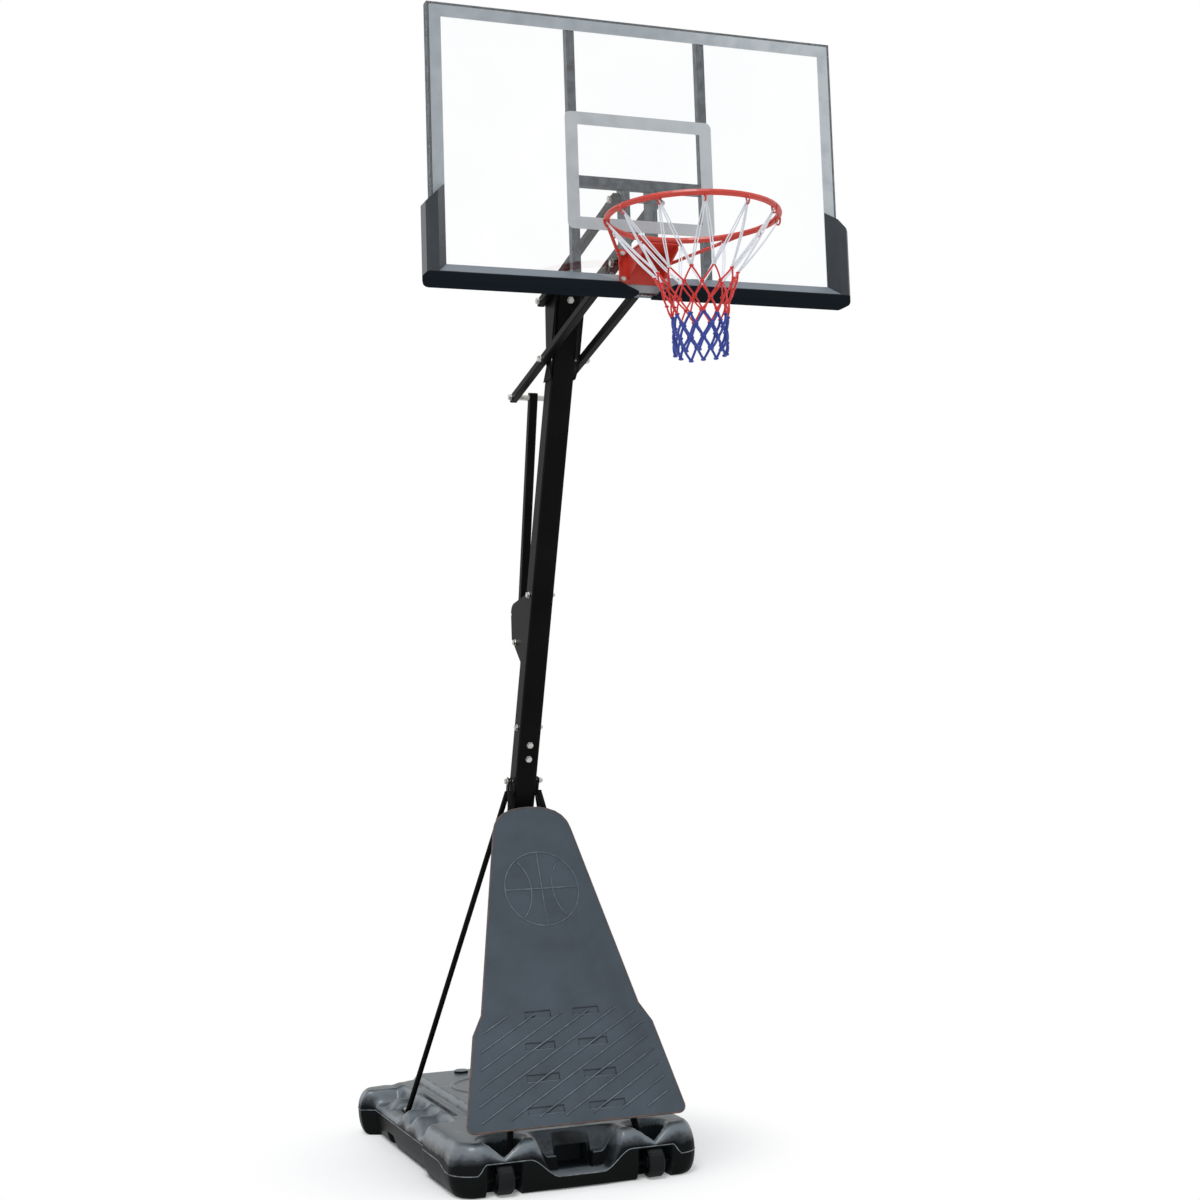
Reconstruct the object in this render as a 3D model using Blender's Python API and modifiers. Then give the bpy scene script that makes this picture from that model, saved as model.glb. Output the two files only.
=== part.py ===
"""Portable basketball stand: ballast base, leaning pole, parallel lift arms, clear backboard and hoop.

Metres, +Z up. The origin lies on the base's underside, midway between its sides and 0.60 m behind
its front. -Y points to the player and +X is the right side seen by the player. The lift stands at
its middle setting.
"""

import math

import bmesh
import bpy
from mathutils import Matrix, Vector

# Clearance that two touching pieces keep, clearance round a bolt in its hole, and how far a cutter
# runs past the face it opens.
GAP = 0.0003
HOLE_PLAY = 0.0004
OVERRUN = 0.020

# Drills: through a thin tab, a plate, a tube, and across the whole pole. A welded shape reaches a
# little way into the piece it is joined to.
DRILL_TAB = 0.020
DRILL_PLATE = 0.030
DRILL_TUBE = 0.060
DRILL_ACROSS = 0.300
WELD = 0.001

# Ballast base.
BASE_FRONT_Y = -0.600
BASE_REAR_Y = 0.650
BASE_FRONT_HALF = 0.412
BASE_WAIST_HALF = 0.398
BASE_REAR_HALF = 0.445
BASE_TOP = 0.165
BASE_CORNER = 0.085
BASE_TOP_EDGE = 0.040
BASE_LOWER_EDGE = 0.030
SEAM_HALF = 0.002
SEAM_Z = 0.090
SEAM_CORNER_Z = 0.072
SEAM_BAY_Z = 0.104
SEAM_LIP_Z = 0.044
SEAM_LIP_HALF = 0.070
SEAM_BAY_START = 0.170
SEAM_TURN = 0.030
SEAM_FRONT_Y = -0.500
SEAM_SIDE_Y = -0.400
BLOCK_TURN = 0.035
FRONT_BLOCK_Y = -0.215
REAR_BLOCK_Y = 0.535
REAR_BLOCK_TOP = 0.156
PLATEAU_HALF = 0.206
PLATEAU_TURN = 0.024
PLATEAU_FRONT_Y = -0.090
PLATEAU_FRONT_TURN = 0.050
PLATEAU_RISE = 0.020
SIDE_WIDTH = 0.116
SIDE_RAMP = 0.034
SIDE_POCKET_FLOOR = 0.112
SIDE_POCKET_FRONT_Y = 0.200
POCKET_REAR_RAMP = 0.045
SIDE_HUMP_YS = (0.125, 0.000)
SIDE_HUMP_TOP = 0.150
SIDE_DIP = 0.128
SCALLOP_Y = -0.105
SCALLOP_FLOOR = 0.118
POCKET_RIDGE_Y = 0.415
POCKET_RIDGE_RADIUS = 0.050
POCKET_RIDGE_TOP = 0.140
POCKET_RIDGE_INSET = 0.035
POCKET_RIDGE_END = 0.030
GRIP_NOTCH_Y = 0.300
GRIP_NOTCH_LENGTH = 0.10
GRIP_NOTCH_DEPTH = 0.045
GRIP_NOTCH_HEIGHT = 0.045
GRIP_NOTCH_ROUND = 0.012
GROOVE_INSET = 0.128
GROOVE_FRONT_Y = -0.106
GROOVE_REAR_Y = 0.327
GROOVE_WIDTH = 0.014
GROOVE_DEPTH = 0.010
SCOOP_FLOOR_HALF = 0.088
SCOOP_TOP_HALF = 0.150
SCOOP_DEPTH = 0.090
SCOOP_RAMP = 0.030
SCOOP_LIP = 0.048
WINDOW_SILL = 0.004
WINDOW_WIDTH = 0.11
WINDOW_HEIGHT = 0.064
WINDOW_DEPTH = 0.085
FILLER_X = -0.060
FILLER_INSET = 0.095
FILLER_RADIUS = 0.026
FILLER_FLANGE = 0.004
FILLER_NECK = 0.022
FILLER_HEIGHT = 0.010
FILLER_CHAMFER = 0.003

# Wheels in the front of the base, each with its own axle.
WHEEL_X = 0.25
WHEEL_Y = -0.570
WHEEL_RADIUS = 0.048
WHEEL_WIDTH = 0.052
WHEEL_GROUND_GAP = 0.003
WHEEL_HUB_RADIUS = 0.020
WHEEL_DISH = 0.008
WHEEL_RIM = 0.012
WHEEL_RIM_TOP = 0.010
WHEEL_SHOULDER = 0.005
WHEEL_SHOULDER_DROP = 0.006
WHEEL_BAY_SIDE_PLAY = 0.033
WHEEL_BAY_PLAY = 0.014
WHEEL_BAY_TOP = 0.100
WELL_INWARD = 0.010
WELL_PLAY = 0.006
WELL_WALL = 0.022
WELL_REAR = 0.030
WELL_OVERLAP = 0.015
WELL_ROUND = 0.008
AXLE_RADIUS = 0.006
AXLE_SEAT = 0.016
NOTCH_HALF_WIDTH = 0.074
NOTCH_DEPTH = 0.042
NOTCH_REACH = 0.150

# Pole: three square sections, each slid over the reduced end of the one below.
POLE_SIZE = 0.076
POLE_WALL = 0.0025
POLE_CORNER = 0.010
POLE_LEAN = math.radians(21.24)
POLE_FOOT_Z = 0.055
POLE_HEAD = 0.048
LOWER_SEAM_RISE = 0.043
UPPER_SEAM_Z = 1.800
POLE_INSERT = 0.175
POLE_SHOULDER = 0.012
POLE_SOCKET_PLAY = 0.002
CAP_FLANGE = 0.004
CAP_DEPTH = 0.030

# Struts and braces that hold the pole on the base.
MAIN_BOLT_Y = -0.106
MAIN_BOLT_Z = 1.262
STRUT_RADIUS = 0.011
BRACE_RADIUS = 0.0095
TAB_THICKNESS = 0.004
TAB_WIDTH = 0.022
EYE_LENGTH = 0.060
FOOT_EYE_LENGTH = 0.084
STRUT_EYE_OFFSET = 0.0065
STRUT_POLE_PLAY = 0.001
BRACE_EYE_STEP = 0.0085
BRACE_FOOT_INSET = 0.066
BRACE_FOOT_Y = 0.290
BRACE_FOOT_PLATE = 0.044
BRACE_SCREW_LENGTH = 0.026
BRACE_SCREW_PLAY = 0.004

# Leaning guard panel.
PANEL_THICKNESS = 0.007
PANEL_LEAN = math.radians(23.8)
PANEL_FOOT_RISE = 0.033
PANEL_REST_DROP = 0.090
PANEL_TOP_DROP = 0.0887
PANEL_BOTTOM_HALF = 0.3635
PANEL_LOW_KINK_HALF = 0.305
PANEL_LOW_KINK = 0.301
PANEL_HIGH_KINK_HALF = 0.268
PANEL_HIGH_KINK = 0.366
PANEL_SHOULDER_HALF = 0.137
PANEL_HEAD = 0.081
PANEL_CORNER = 0.022
PANEL_EDGE = 0.002
CLIP_Z = 0.470
CLIP_WIDTH = 0.034
CLIP_HEIGHT = 0.030
CLIP_DRILL = 0.120
RIB_COUNT = 12
RIB_SPACING = 0.0444
RIB_ANGLE = math.radians(29.0)
RIB_WIDTH = 0.006
RIB_HEIGHT = 0.0018
RIB_MARGIN = 0.029
RIB_FIELD_TOP = 0.357
SLOT_LENGTH = 0.088
SLOT_LENGTH_STEP = 0.011
SLOT_WIDTH = 0.024
SLOT_DEPTH = 0.003
SLOT_ROWS = 4
SLOT_FIRST_X = 0.082
SLOT_SPREAD = 0.0068
SLOT_FIRST_HEIGHT = 0.3545
SLOT_ROW_STEP = 0.101
BALL_HEIGHT = 0.775
BALL_RADIUS = 0.128
LINE_RADIUS = 0.0022

# Bolts: hexagon head on a washer face, nut with a short thread end.
BOLT_RADIUS = 0.006
WASHER_RADIUS = 0.0120
WASHER_THICKNESS = 0.002
HEX_RADIUS = 0.0100
HEX_HEIGHT = 0.007
THREAD_END = 0.005
SMALL_BOLT = 0.70
UPPER_JOINT_BOLT_RISE = 0.083
FRONT_BOLT_RISES = (0.092, 0.045)
SIDE_BOLT_RISE = 0.139
HEAD_BOLT_LENGTH = 0.018
HEAD_BOLT_PLAY = 0.002

# Lift linkage: a parallelogram of arms, its lower arms drawn out into tails.
LOWER_PIVOT_Z = 2.622
PIVOT_OFFSET = 0.0204
PIVOT_RISE = 0.190
FRONT_REACH = 0.675
FRONT_CLIMB = 0.140
TAIL_LENGTH = 0.327
ARM_SIZE = 0.025
ARM_WALL = 0.0018
ARM_INNER_X = 0.052
ARM_END = 0.017
ARM_CORNER = 0.003
ARM_BORE_CORNER = 0.002
CHEEK_THICKNESS = 0.004
CHEEK_OUTER_X = 0.0505
CHEEK_FOOT_DROP = 0.062
CHEEK_FLARE_DROP = 0.022
CHEEK_TOP_RISE = 0.026
CHEEK_REAR_LOW = 0.023
CHEEK_REAR_TOP = 0.014
CHEEK_FOOT_INSET = 0.004
CHEEK_FOLD_PLAY = 0.0002

# Telescopic lift strut behind the pole and its trigger bracket.
ANCHOR_Z = 1.737
ANCHOR_REACH = 0.1199
LIFT_TUBE_SIZE = 0.028
LIFT_TUBE_WALL = 0.0018
LIFT_TUBE_CORNER = 0.003
LIFT_ROD_SHOWN = 0.1438
LIFT_BUSH_LENGTH = 0.022
LIFT_ROD_RADIUS = 0.009
LIFT_ROD_LENGTH = 0.550
ROD_EYE_LENGTH = 0.034
ROD_EYE_DEPTH = 0.026
ROD_EYE_WIDTH = 0.024
ROD_EYE_ROUND = 0.004
ROD_END_INSET = 0.006
ANCHOR_TIP_PLAY = 0.0008
SPACER_RADIUS = 0.0095
BRACKET_PLATE = 0.003
BRACKET_INNER = 0.036
BRACKET_FOOT_DROP = 0.100
BRACKET_HEAD_RISE = 0.163
BRACKET_REAR = 0.042
BRACKET_REAR_LOW = 0.015
BRACKET_REAR_TOP = 0.101
BRACKET_SHOULDER_REAR = 0.002
BRACKET_SHOULDER_RISE = 0.137
BRACKET_CROWN_REACH = 0.010
BRACKET_CROWN_DROP = 0.002
BRACKET_CROWN_RISE = 0.014
LEVER_PIVOT_REAR = 0.031
LEVER_PIVOT_RISE = 0.099
LEVER_WIDTH = 0.030
LEVER_PLATE = 0.007
LEVER_REAR = 0.060
LEVER_LOW = 0.011
LEVER_BOSS = 0.0085
LEVER_PIN_RADIUS = 0.004
LEVER_PIN_ENDS = 0.004
LEVER_HEAD = 0.010
LEVER_ROUND = 0.0025
LEVER_BRIDGE_INSET = 0.0005
LEVER_BRIDGE_HALF = 0.0055

# Backboard: clear sheet on a steel frame, padded along its lower edge.
BOARD_REACH = 0.050
SHEET_THICKNESS = 0.004
SHEET_WIDTH = 1.260
SHEET_HEIGHT = 0.810
SHEET_DROP = 0.102
RAIL_SIZE = 0.025
RAIL_WALL = 0.002
UPRIGHT_X = 0.2035
CROSSBAR_HEIGHT = 0.030
CROSSBAR_RISE = 0.035
EAR_INNER_X = 0.034
EAR_OUTER_X = 0.050
EAR_OVERHANG = 0.020
EAR_WEB = 0.004
PAD_SIDE_EDGE = 0.022
PAD_BOTTOM_EDGE = 0.005
PAD_WRAP = 0.028
PAD_FRONT = 0.033
PAD_RIDGE = 0.034
PAD_INNER = 0.062
PAD_ROUND = 0.008
PAD_CORNER = 0.016
PAD_END_X = 0.030
PAD_END_SLANT = 0.119
PAD_LEG = 0.225
PAD_LEG_SLANT = 0.060

# Hoop and net.
RING_INNER_RADIUS = 0.225
RING_BAR_RADIUS = 0.0085
RING_REACH = 0.362
RING_RISE = 0.128
PLATE_HALF_WIDTH = 0.078
PLATE_DROP = 0.098
PLATE_RISE = 0.003
SHELF_REAR_HALF = 0.057
PLATE_THICKNESS = 0.004
SHELF_FRONT_HALF = 0.058
GUSSET_X = 0.056
GUSSET_FRONT_DROP = 0.018
GUSSET_FOOT_RISE = 0.012
GUSSET_NOSE = 0.004
RIM_BOLT_X = 0.067
RIM_BOLT_DROPS = (0.010, 0.084)
RIM_BRACE_RADIUS = 0.005
RIM_BRACE_ANGLE = math.radians(24.0)
RIM_BRACE_END_X = 0.070
RIM_BRACE_END_DROP = 0.036
RING_SEAM = math.radians(2.3)
HOOK_COUNT = 12
HOOK_HALF_WIDTH = 0.0072
HOOK_ROOT_DROP = 0.0047
HOOK_DROP = 0.0185
HOOK_WIRE = 0.0025
NET_PEAK_SLOPE = 0.51
NET_ROWS = 8
NET_CORD = 0.0058
NET_LENGTH = 0.390
NET_BOTTOM_RADIUS = 0.070
NET_WAIST_DROP = 0.248
NET_WAIST_RADIUS = 0.076
NET_SHOULDER_DROP = 0.148
NET_SHOULDER_RADIUS = 0.120

# Values worked out from the sizes above.
POLE_HALF = POLE_SIZE / 2
SIDE_INNER_X = BASE_WAIST_HALF - SIDE_WIDTH
GROOVE_X = BASE_WAIST_HALF - GROOVE_INSET
SCOOP_BACK_Y = BASE_FRONT_Y + SCOOP_DEPTH
NOTCH_BACK_Y = BASE_FRONT_Y + NOTCH_REACH
WHEEL_Z = WHEEL_RADIUS + WHEEL_GROUND_GAP
WHEEL_BAY_HALF = WHEEL_WIDTH / 2 + WHEEL_BAY_SIDE_PLAY
STRUT_FOOT_X = WHEEL_X - WHEEL_WIDTH / 2 - 0.0055
ARM_ANGLE = math.atan2(FRONT_CLIMB, FRONT_REACH)
ARM_CENTRE_X = ARM_INNER_X + ARM_SIZE / 2
ARM_OUTER_X = ARM_INNER_X + ARM_SIZE
LOWER_SEAM_Z = MAIN_BOLT_Z + LOWER_SEAM_RISE
SIDE_BOLT_Z = LOWER_SEAM_Z + SIDE_BOLT_RISE
FRONT_BOLT_HEIGHTS = [LOWER_SEAM_Z + rise for rise in FRONT_BOLT_RISES]
UPPER_JOINT_BOLT_Z = UPPER_SEAM_Z + UPPER_JOINT_BOLT_RISE
PANEL_BOTTOM_Z = BASE_TOP + PANEL_FOOT_RISE
PANEL_REST_Z = MAIN_BOLT_Z - PANEL_REST_DROP
PANEL_HEIGHT = (MAIN_BOLT_Z - PANEL_TOP_DROP - PANEL_BOTTOM_Z) / math.cos(PANEL_LEAN)
PANEL_SHOULDER = PANEL_HEIGHT - PANEL_HEAD
POLE_SLOPE = math.tan(POLE_LEAN)
POLE_HALF_LEVEL = POLE_HALF / math.cos(POLE_LEAN)
LOWER_PIVOT = (MAIN_BOLT_Y - (LOWER_PIVOT_Z - MAIN_BOLT_Z) * POLE_SLOPE - PIVOT_OFFSET, LOWER_PIVOT_Z)
UPPER_PIVOT = (LOWER_PIVOT[0], LOWER_PIVOT[1] + PIVOT_RISE)
FRONT_LOWER_PIVOT = (LOWER_PIVOT[0] - FRONT_REACH, LOWER_PIVOT[1] + FRONT_CLIMB)
FRONT_UPPER_PIVOT = (FRONT_LOWER_PIVOT[0], FRONT_LOWER_PIVOT[1] + PIVOT_RISE)
TAIL_PIVOT = (
    LOWER_PIVOT[0] + TAIL_LENGTH * math.cos(ARM_ANGLE),
    LOWER_PIVOT[1] - TAIL_LENGTH * math.sin(ARM_ANGLE),
)
HEAD_BOLT_Z = UPPER_PIVOT[1]
POLE_TOP_Z = UPPER_PIVOT[1] + POLE_HEAD
CHEEK_FOOT_Z = LOWER_PIVOT[1] - CHEEK_FOOT_DROP
CHEEK_FLARE_Z = LOWER_PIVOT[1] - CHEEK_FLARE_DROP
CHEEK_TOP_Z = UPPER_PIVOT[1] + CHEEK_TOP_RISE
ANCHOR_Y = MAIN_BOLT_Y - (ANCHOR_Z - MAIN_BOLT_Z) * POLE_SLOPE + POLE_HALF_LEVEL + ANCHOR_REACH
ANCHOR = (ANCHOR_Y, ANCHOR_Z)
LIFT_TUBE_LENGTH = math.dist(TAIL_PIVOT, ANCHOR) - LIFT_ROD_SHOWN
BRACKET_FOOT_Z = ANCHOR_Z - BRACKET_FOOT_DROP
BRACKET_HEAD_Z = ANCHOR_Z + BRACKET_HEAD_RISE
BRACKET_REAR_Y = ANCHOR_Y + BRACKET_REAR
BRACKET_SHOULDER = (ANCHOR_Y + BRACKET_SHOULDER_REAR, ANCHOR_Z + BRACKET_SHOULDER_RISE)
LEVER_PIVOT = (ANCHOR_Y + LEVER_PIVOT_REAR, ANCHOR_Z + LEVER_PIVOT_RISE)
LEVER_REAR_Y = ANCHOR_Y + LEVER_REAR
BOARD_FACE_Y = FRONT_LOWER_PIVOT[0] - BOARD_REACH
SHEET_BOTTOM_Z = FRONT_LOWER_PIVOT[1] - SHEET_DROP
SHEET_TOP_Z = SHEET_BOTTOM_Z + SHEET_HEIGHT
SHEET_BACK_Y = BOARD_FACE_Y + SHEET_THICKNESS
RAIL_FRONT_Y = SHEET_BACK_Y + GAP
RAIL_BACK_Y = RAIL_FRONT_Y + RAIL_SIZE
UPPER_CROSSBAR_Z = FRONT_UPPER_PIVOT[1] + CROSSBAR_RISE
PAD_REAR_Y = BOARD_FACE_Y + PAD_WRAP
PAD_LEG_TOP_Z = SHEET_BOTTOM_Z + PAD_LEG
RING_RADIUS = RING_INNER_RADIUS + RING_BAR_RADIUS
RING_CENTRE_Y = BOARD_FACE_Y - RING_REACH
RING_CENTRE_Z = SHEET_BOTTOM_Z + RING_RISE
PLATE_BOTTOM_Z = RING_CENTRE_Z - PLATE_DROP
PLATE_TOP_Z = RING_CENTRE_Z + PLATE_RISE
NET_BOTTOM_Z = RING_CENTRE_Z - NET_LENGTH
NET_WAIST_Z = RING_CENTRE_Z - NET_WAIST_DROP
NET_SHOULDER_Z = RING_CENTRE_Z - NET_SHOULDER_DROP
PLATE_FRONT_Y = BOARD_FACE_Y - GAP - PLATE_THICKNESS

for old in list(bpy.data.objects):
    bpy.data.objects.remove(old)

PARTS = bpy.data.collections.new("basketball_stand")
CUTTERS = bpy.data.collections.new("cutters")
for collection in (PARTS, CUTTERS):
    bpy.context.scene.collection.children.link(collection)
CUTTERS.hide_render = True


def material(name, colour, roughness, metallic=0.0):
    """Principled material, made once for each name."""
    made = bpy.data.materials.get(name)
    if made:
        return made
    made = bpy.data.materials.new(name)
    made.use_nodes = True
    shader = made.node_tree.nodes["Principled BSDF"]
    shader.inputs["Base Color"].default_value = (*colour, 1.0)
    shader.inputs["Roughness"].default_value = roughness
    shader.inputs["Metallic"].default_value = metallic
    made.diffuse_color = (*colour, 1.0)
    return made


def black_steel():
    return material("black_powder_coat", (0.010, 0.010, 0.011), 0.42, 0.0)


def frame_steel():
    return material("grey_frame_steel", (0.060, 0.072, 0.074), 0.50, 0.3)


def zinc():
    return material("zinc_plate", (0.48, 0.49, 0.47), 0.35, 1.0)


def base_plastic():
    return material("black_polyethylene", (0.022, 0.026, 0.031), 0.38)


def panel_plastic():
    return material("slate_polyethylene", (0.080, 0.098, 0.118), 0.48)


def pad_plastic():
    return material("dark_pad_moulding", (0.018, 0.022, 0.027), 0.40)


def wheel_plastic():
    return material("black_wheel_plastic", (0.018, 0.019, 0.021), 0.55)


def clear_sheet():
    return material("clear_polycarbonate", (0.80, 0.84, 0.85), 0.05)


def rim_red():
    return material("red_powder_coat", (0.52, 0.035, 0.022), 0.38)


def net_cord():
    return material("net_cord", (0.60, 0.08, 0.10), 0.85)


def finish(obj, surface=None, cutter=False):
    """Puts an object in its collection, and a cutter out of the render."""
    (CUTTERS if cutter else PARTS).objects.link(obj)
    if cutter:
        obj.hide_render = True
        obj.display_type = "WIRE"
    if surface:
        obj.data.materials.append(surface)
    return obj


def from_bmesh(name, shape, matrix=None, surface=None, cutter=False):
    mesh = bpy.data.meshes.new(name)
    shape.to_mesh(mesh)
    shape.free()
    obj = bpy.data.objects.new(name, mesh)
    obj.matrix_world = matrix or Matrix()
    return finish(obj, surface, cutter)


def box(name, size, matrix=None, surface=None, cutter=False, bevel=0.0, segments=2):
    """Box centred on its matrix, with every edge rounded where bevel is given."""
    shape = bmesh.new()
    bmesh.ops.create_cube(shape, size=1.0)
    bmesh.ops.scale(shape, vec=Vector(size), verts=shape.verts)
    obj = from_bmesh(name, shape, matrix, surface, cutter)
    if bevel:
        round_edges(obj, bevel, segments)
    return obj


def round_edges(obj, width, segments=2):
    bevel = obj.modifiers.new("rounded edges", "BEVEL")
    bevel.width = width
    bevel.segments = segments
    bevel.limit_method = "ANGLE"
    bevel.angle_limit = math.radians(40)


def span_box(name, low, high, surface=None, cutter=False, bevel=0.0, segments=2):
    """Box between two corners along the world axes."""
    low, high = Vector(low), Vector(high)
    place = Matrix.Translation((low + high) / 2)
    return box(name, high - low, place, surface, cutter, bevel, segments)


def cylinder(name, radius, length, matrix, surface=None, cutter=False, sides=16):
    shape = bmesh.new()
    bmesh.ops.create_cone(
        shape, cap_ends=True, segments=sides, radius1=radius, radius2=radius, depth=length
    )
    obj = from_bmesh(name, shape, matrix, surface, cutter)
    smooth(obj)
    return obj


def smooth(obj):
    obj.data.shade_smooth()
    obj.data.set_sharp_from_angle(angle=math.radians(40))


def frame_at(origin, z_axis, x_hint=(1, 0, 0)):
    """Matrix at origin with its Z axis along z_axis and its X axis as near x_hint as it can be."""
    z = Vector(z_axis).normalized()
    x = Vector(x_hint)
    x = (x - z * x.dot(z)).normalized()
    y = z.cross(x)
    turn = Matrix((x, y, z)).transposed().to_4x4()
    return Matrix.Translation(origin) @ turn


def between(start, end, x_hint=(1, 0, 0)):
    start, end = Vector(start), Vector(end)
    return frame_at((start + end) / 2, end - start, x_hint), (end - start).length


def across(y, z, x=0.0):
    """Matrix at a point with its Z axis along world X."""
    return frame_at((x, y, z), (1, 0, 0), (0, 1, 0))


def combine(obj, other, operation):
    step = obj.modifiers.new(operation.lower(), "BOOLEAN")
    step.object = other
    step.operation = operation
    step.solver = "EXACT"


def cut(obj, *cutters):
    for cutter in cutters:
        combine(obj, cutter, "DIFFERENCE")


def join(obj, *others):
    for other in others:
        combine(obj, other, "UNION")


def drill(obj, matrix, radius, length, sides=12):
    """Round hole along the matrix's Z axis, clear of the radius all the way round."""
    name = f"{obj.name}_hole_{len(obj.modifiers)}"
    corner = radius / math.cos(math.pi / sides)
    cut(obj, cylinder(name, corner, length, matrix, cutter=True, sides=sides))


def drill_across(obj, pivot, radius=BOLT_RADIUS, x=0.0, length=DRILL_ACROSS):
    """Hole for a bolt that lies along X at a (y, z) point."""
    drill(obj, across(pivot[0], pivot[1], x), radius + HOLE_PLAY, length)


def arc(centre, radius, start, end, steps):
    """Points on a circle between two angles in degrees, both ends included."""
    points = []
    for step in range(steps + 1):
        turn = math.radians(start + (end - start) * step / steps)
        points.append((centre[0] + radius * math.cos(turn), centre[1] + radius * math.sin(turn)))
    return points


def rounded_rectangle(width, length, corner, steps=4):
    points = []
    for quarter, (side, end) in enumerate(((1, 1), (-1, 1), (-1, -1), (1, -1))):
        centre = (side * (width / 2 - corner), end * (length / 2 - corner))
        points += arc(centre, corner, quarter * 90, quarter * 90 + 90, steps)
    return points


def bezier(start, handle_a, handle_b, end, steps):
    points = []
    for step in range(steps + 1):
        t = step / steps
        weights = ((1 - t) ** 3, 3 * t * (1 - t) ** 2, 3 * t * t * (1 - t), t**3)
        corners = (start, handle_a, handle_b, end)
        points.append(tuple(sum(w * c[i] for w, c in zip(weights, corners)) for i in range(2)))
    return points


def mesh_of_curve(name, curve, matrix, surface, cutter):
    """Turns curve data into a welded mesh object at the given matrix."""
    guide = bpy.data.objects.new(name + "_curve", curve)
    bpy.context.scene.collection.objects.link(guide)
    guide.matrix_world = matrix
    graph = bpy.context.evaluated_depsgraph_get()
    mesh = bpy.data.meshes.new_from_object(guide.evaluated_get(graph))
    place = guide.matrix_world.copy()
    bpy.data.objects.remove(guide)
    shape = bmesh.new()
    shape.from_mesh(mesh)
    bmesh.ops.remove_doubles(shape, verts=shape.verts, dist=0.00001)
    bmesh.ops.recalc_face_normals(shape, faces=shape.faces)
    bpy.data.meshes.remove(mesh)
    return from_bmesh(name, shape, place, surface, cutter)


def outline_solid(name, outlines, thickness, matrix=None, surface=None, cutter=False, edge=0.0):
    """Flat outline of the given thickness, centred on its matrix, its rims rounded by edge."""
    curve = bpy.data.curves.new(name, "CURVE")
    curve.dimensions = "2D"
    curve.fill_mode = "BOTH"
    curve.extrude = thickness / 2 - edge
    curve.bevel_depth = edge
    curve.bevel_resolution = 1
    for outline in outlines:
        spline = curve.splines.new("POLY")
        spline.points.add(len(outline) - 1)
        for point, (x, y) in zip(spline.points, outline):
            point.co = (x, y, 0, 1)
        spline.use_cyclic_u = True
    return mesh_of_curve(name, curve, matrix or Matrix(), surface, cutter)


def wire(name, points, radius, surface=None, cutter=False, closed=False, resolution=1):
    """Round bar along 3-D points, with closed ends."""
    curve = bpy.data.curves.new(name, "CURVE")
    curve.dimensions = "3D"
    curve.bevel_depth = radius
    curve.bevel_resolution = resolution
    curve.use_fill_caps = not closed
    spline = curve.splines.new("POLY")
    spline.points.add(len(points) - 1)
    for point, place in zip(spline.points, points):
        point.co = (*place, 1)
    spline.use_cyclic_u = closed
    obj = mesh_of_curve(name, curve, Matrix(), surface, cutter)
    smooth(obj)
    return obj


def loft(name, rings, matrix=None, surface=None, cutter=False):
    """Closed solid through rings of equally many points, with flat ends."""
    shape = bmesh.new()
    rows = [[shape.verts.new(point) for point in ring] for ring in rings]
    count = len(rows[0])
    for low, high in zip(rows, rows[1:]):
        for i in range(count):
            k = (i + 1) % count
            shape.faces.new((low[i], low[k], high[k], high[i]))
    shape.faces.new(rows[0])
    shape.faces.new(rows[-1])
    bmesh.ops.remove_doubles(shape, verts=shape.verts, dist=0.000001)
    bmesh.ops.recalc_face_normals(shape, faces=shape.faces)
    return from_bmesh(name, shape, matrix, surface, cutter)


def turned(name, profile, steps, matrix, surface):
    """Profile of (radius, height) points, from the top down the outside, turned about local Z."""
    mesh = bpy.data.meshes.new(name)
    points = [(radius, 0, height) for radius, height in profile]
    edges = [(i, i + 1) for i in range(len(points) - 1)]
    if profile[0][0] > 0:
        edges.append((len(points) - 1, 0))
    mesh.from_pydata(points, edges, [])
    obj = bpy.data.objects.new(name, mesh)
    obj.matrix_world = matrix
    finish(obj, surface)
    turn = obj.modifiers.new("turned", "SCREW")
    turn.steps = steps
    turn.render_steps = steps
    turn.use_merge_vertices = True
    turn.merge_threshold = 0.00001
    turn.use_smooth_shade = False
    return obj


def bolt(name, matrix, grip, scale=1.0, nut=True):
    """Hexagon bolt along local Z: its head is below z = 0 and its nut above z = grip."""
    washer, flat = WASHER_RADIUS * scale, WASHER_THICKNESS * scale
    head, height = HEX_RADIUS * scale, HEX_HEIGHT * scale
    shank = BOLT_RADIUS * scale
    top = grip
    profile = []
    if nut:
        seat = grip + GAP
        top = seat + flat + height + THREAD_END * scale
        profile = [
            (shank, seat + flat + height),
            (head, seat + flat + height),
            (head, seat + flat),
            (washer, seat + flat),
            (washer, seat),
            (shank, seat),
        ]
    profile = [
        (0, top),
        (shank, top),
        *profile,
        (shank, -GAP),
        (washer, -GAP),
        (washer, -GAP - flat),
        (head, -GAP - flat),
        (head, -GAP - flat - height),
        (0, -GAP - flat - height),
    ]
    return turned(name, profile, 6, matrix, zinc())


def bolt_across(name, pivot, half_grip, scale=1.0):
    return bolt(name, across(pivot[0], pivot[1], -half_grip), 2 * half_grip, scale)


def pole_y(z):
    """Y of the pole's centre line at a height."""
    return MAIN_BOLT_Y - (z - MAIN_BOLT_Z) * POLE_SLOPE


def pole_rear_y(z):
    return pole_y(z) + POLE_HALF_LEVEL


def pole_frame(z):
    """Matrix on the pole's centre line with Z up the pole and -Y towards the player."""
    up = (0, -math.sin(POLE_LEAN), math.cos(POLE_LEAN))
    return frame_at((0, pole_y(z), z), up)


def along_pole(z):
    return (z - POLE_FOOT_Z) / math.cos(POLE_LEAN)


def mirrored(side):
    """Name ending and sign of a side."""
    return ("left", -1) if side < 0 else ("right", 1)


def smooth_step(value, low, high):
    """0 at low, 1 at high and a smooth turn between them."""
    t = min(max((value - low) / (high - low), 0.0), 1.0)
    return t * t * (3 - 2 * t)


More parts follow.
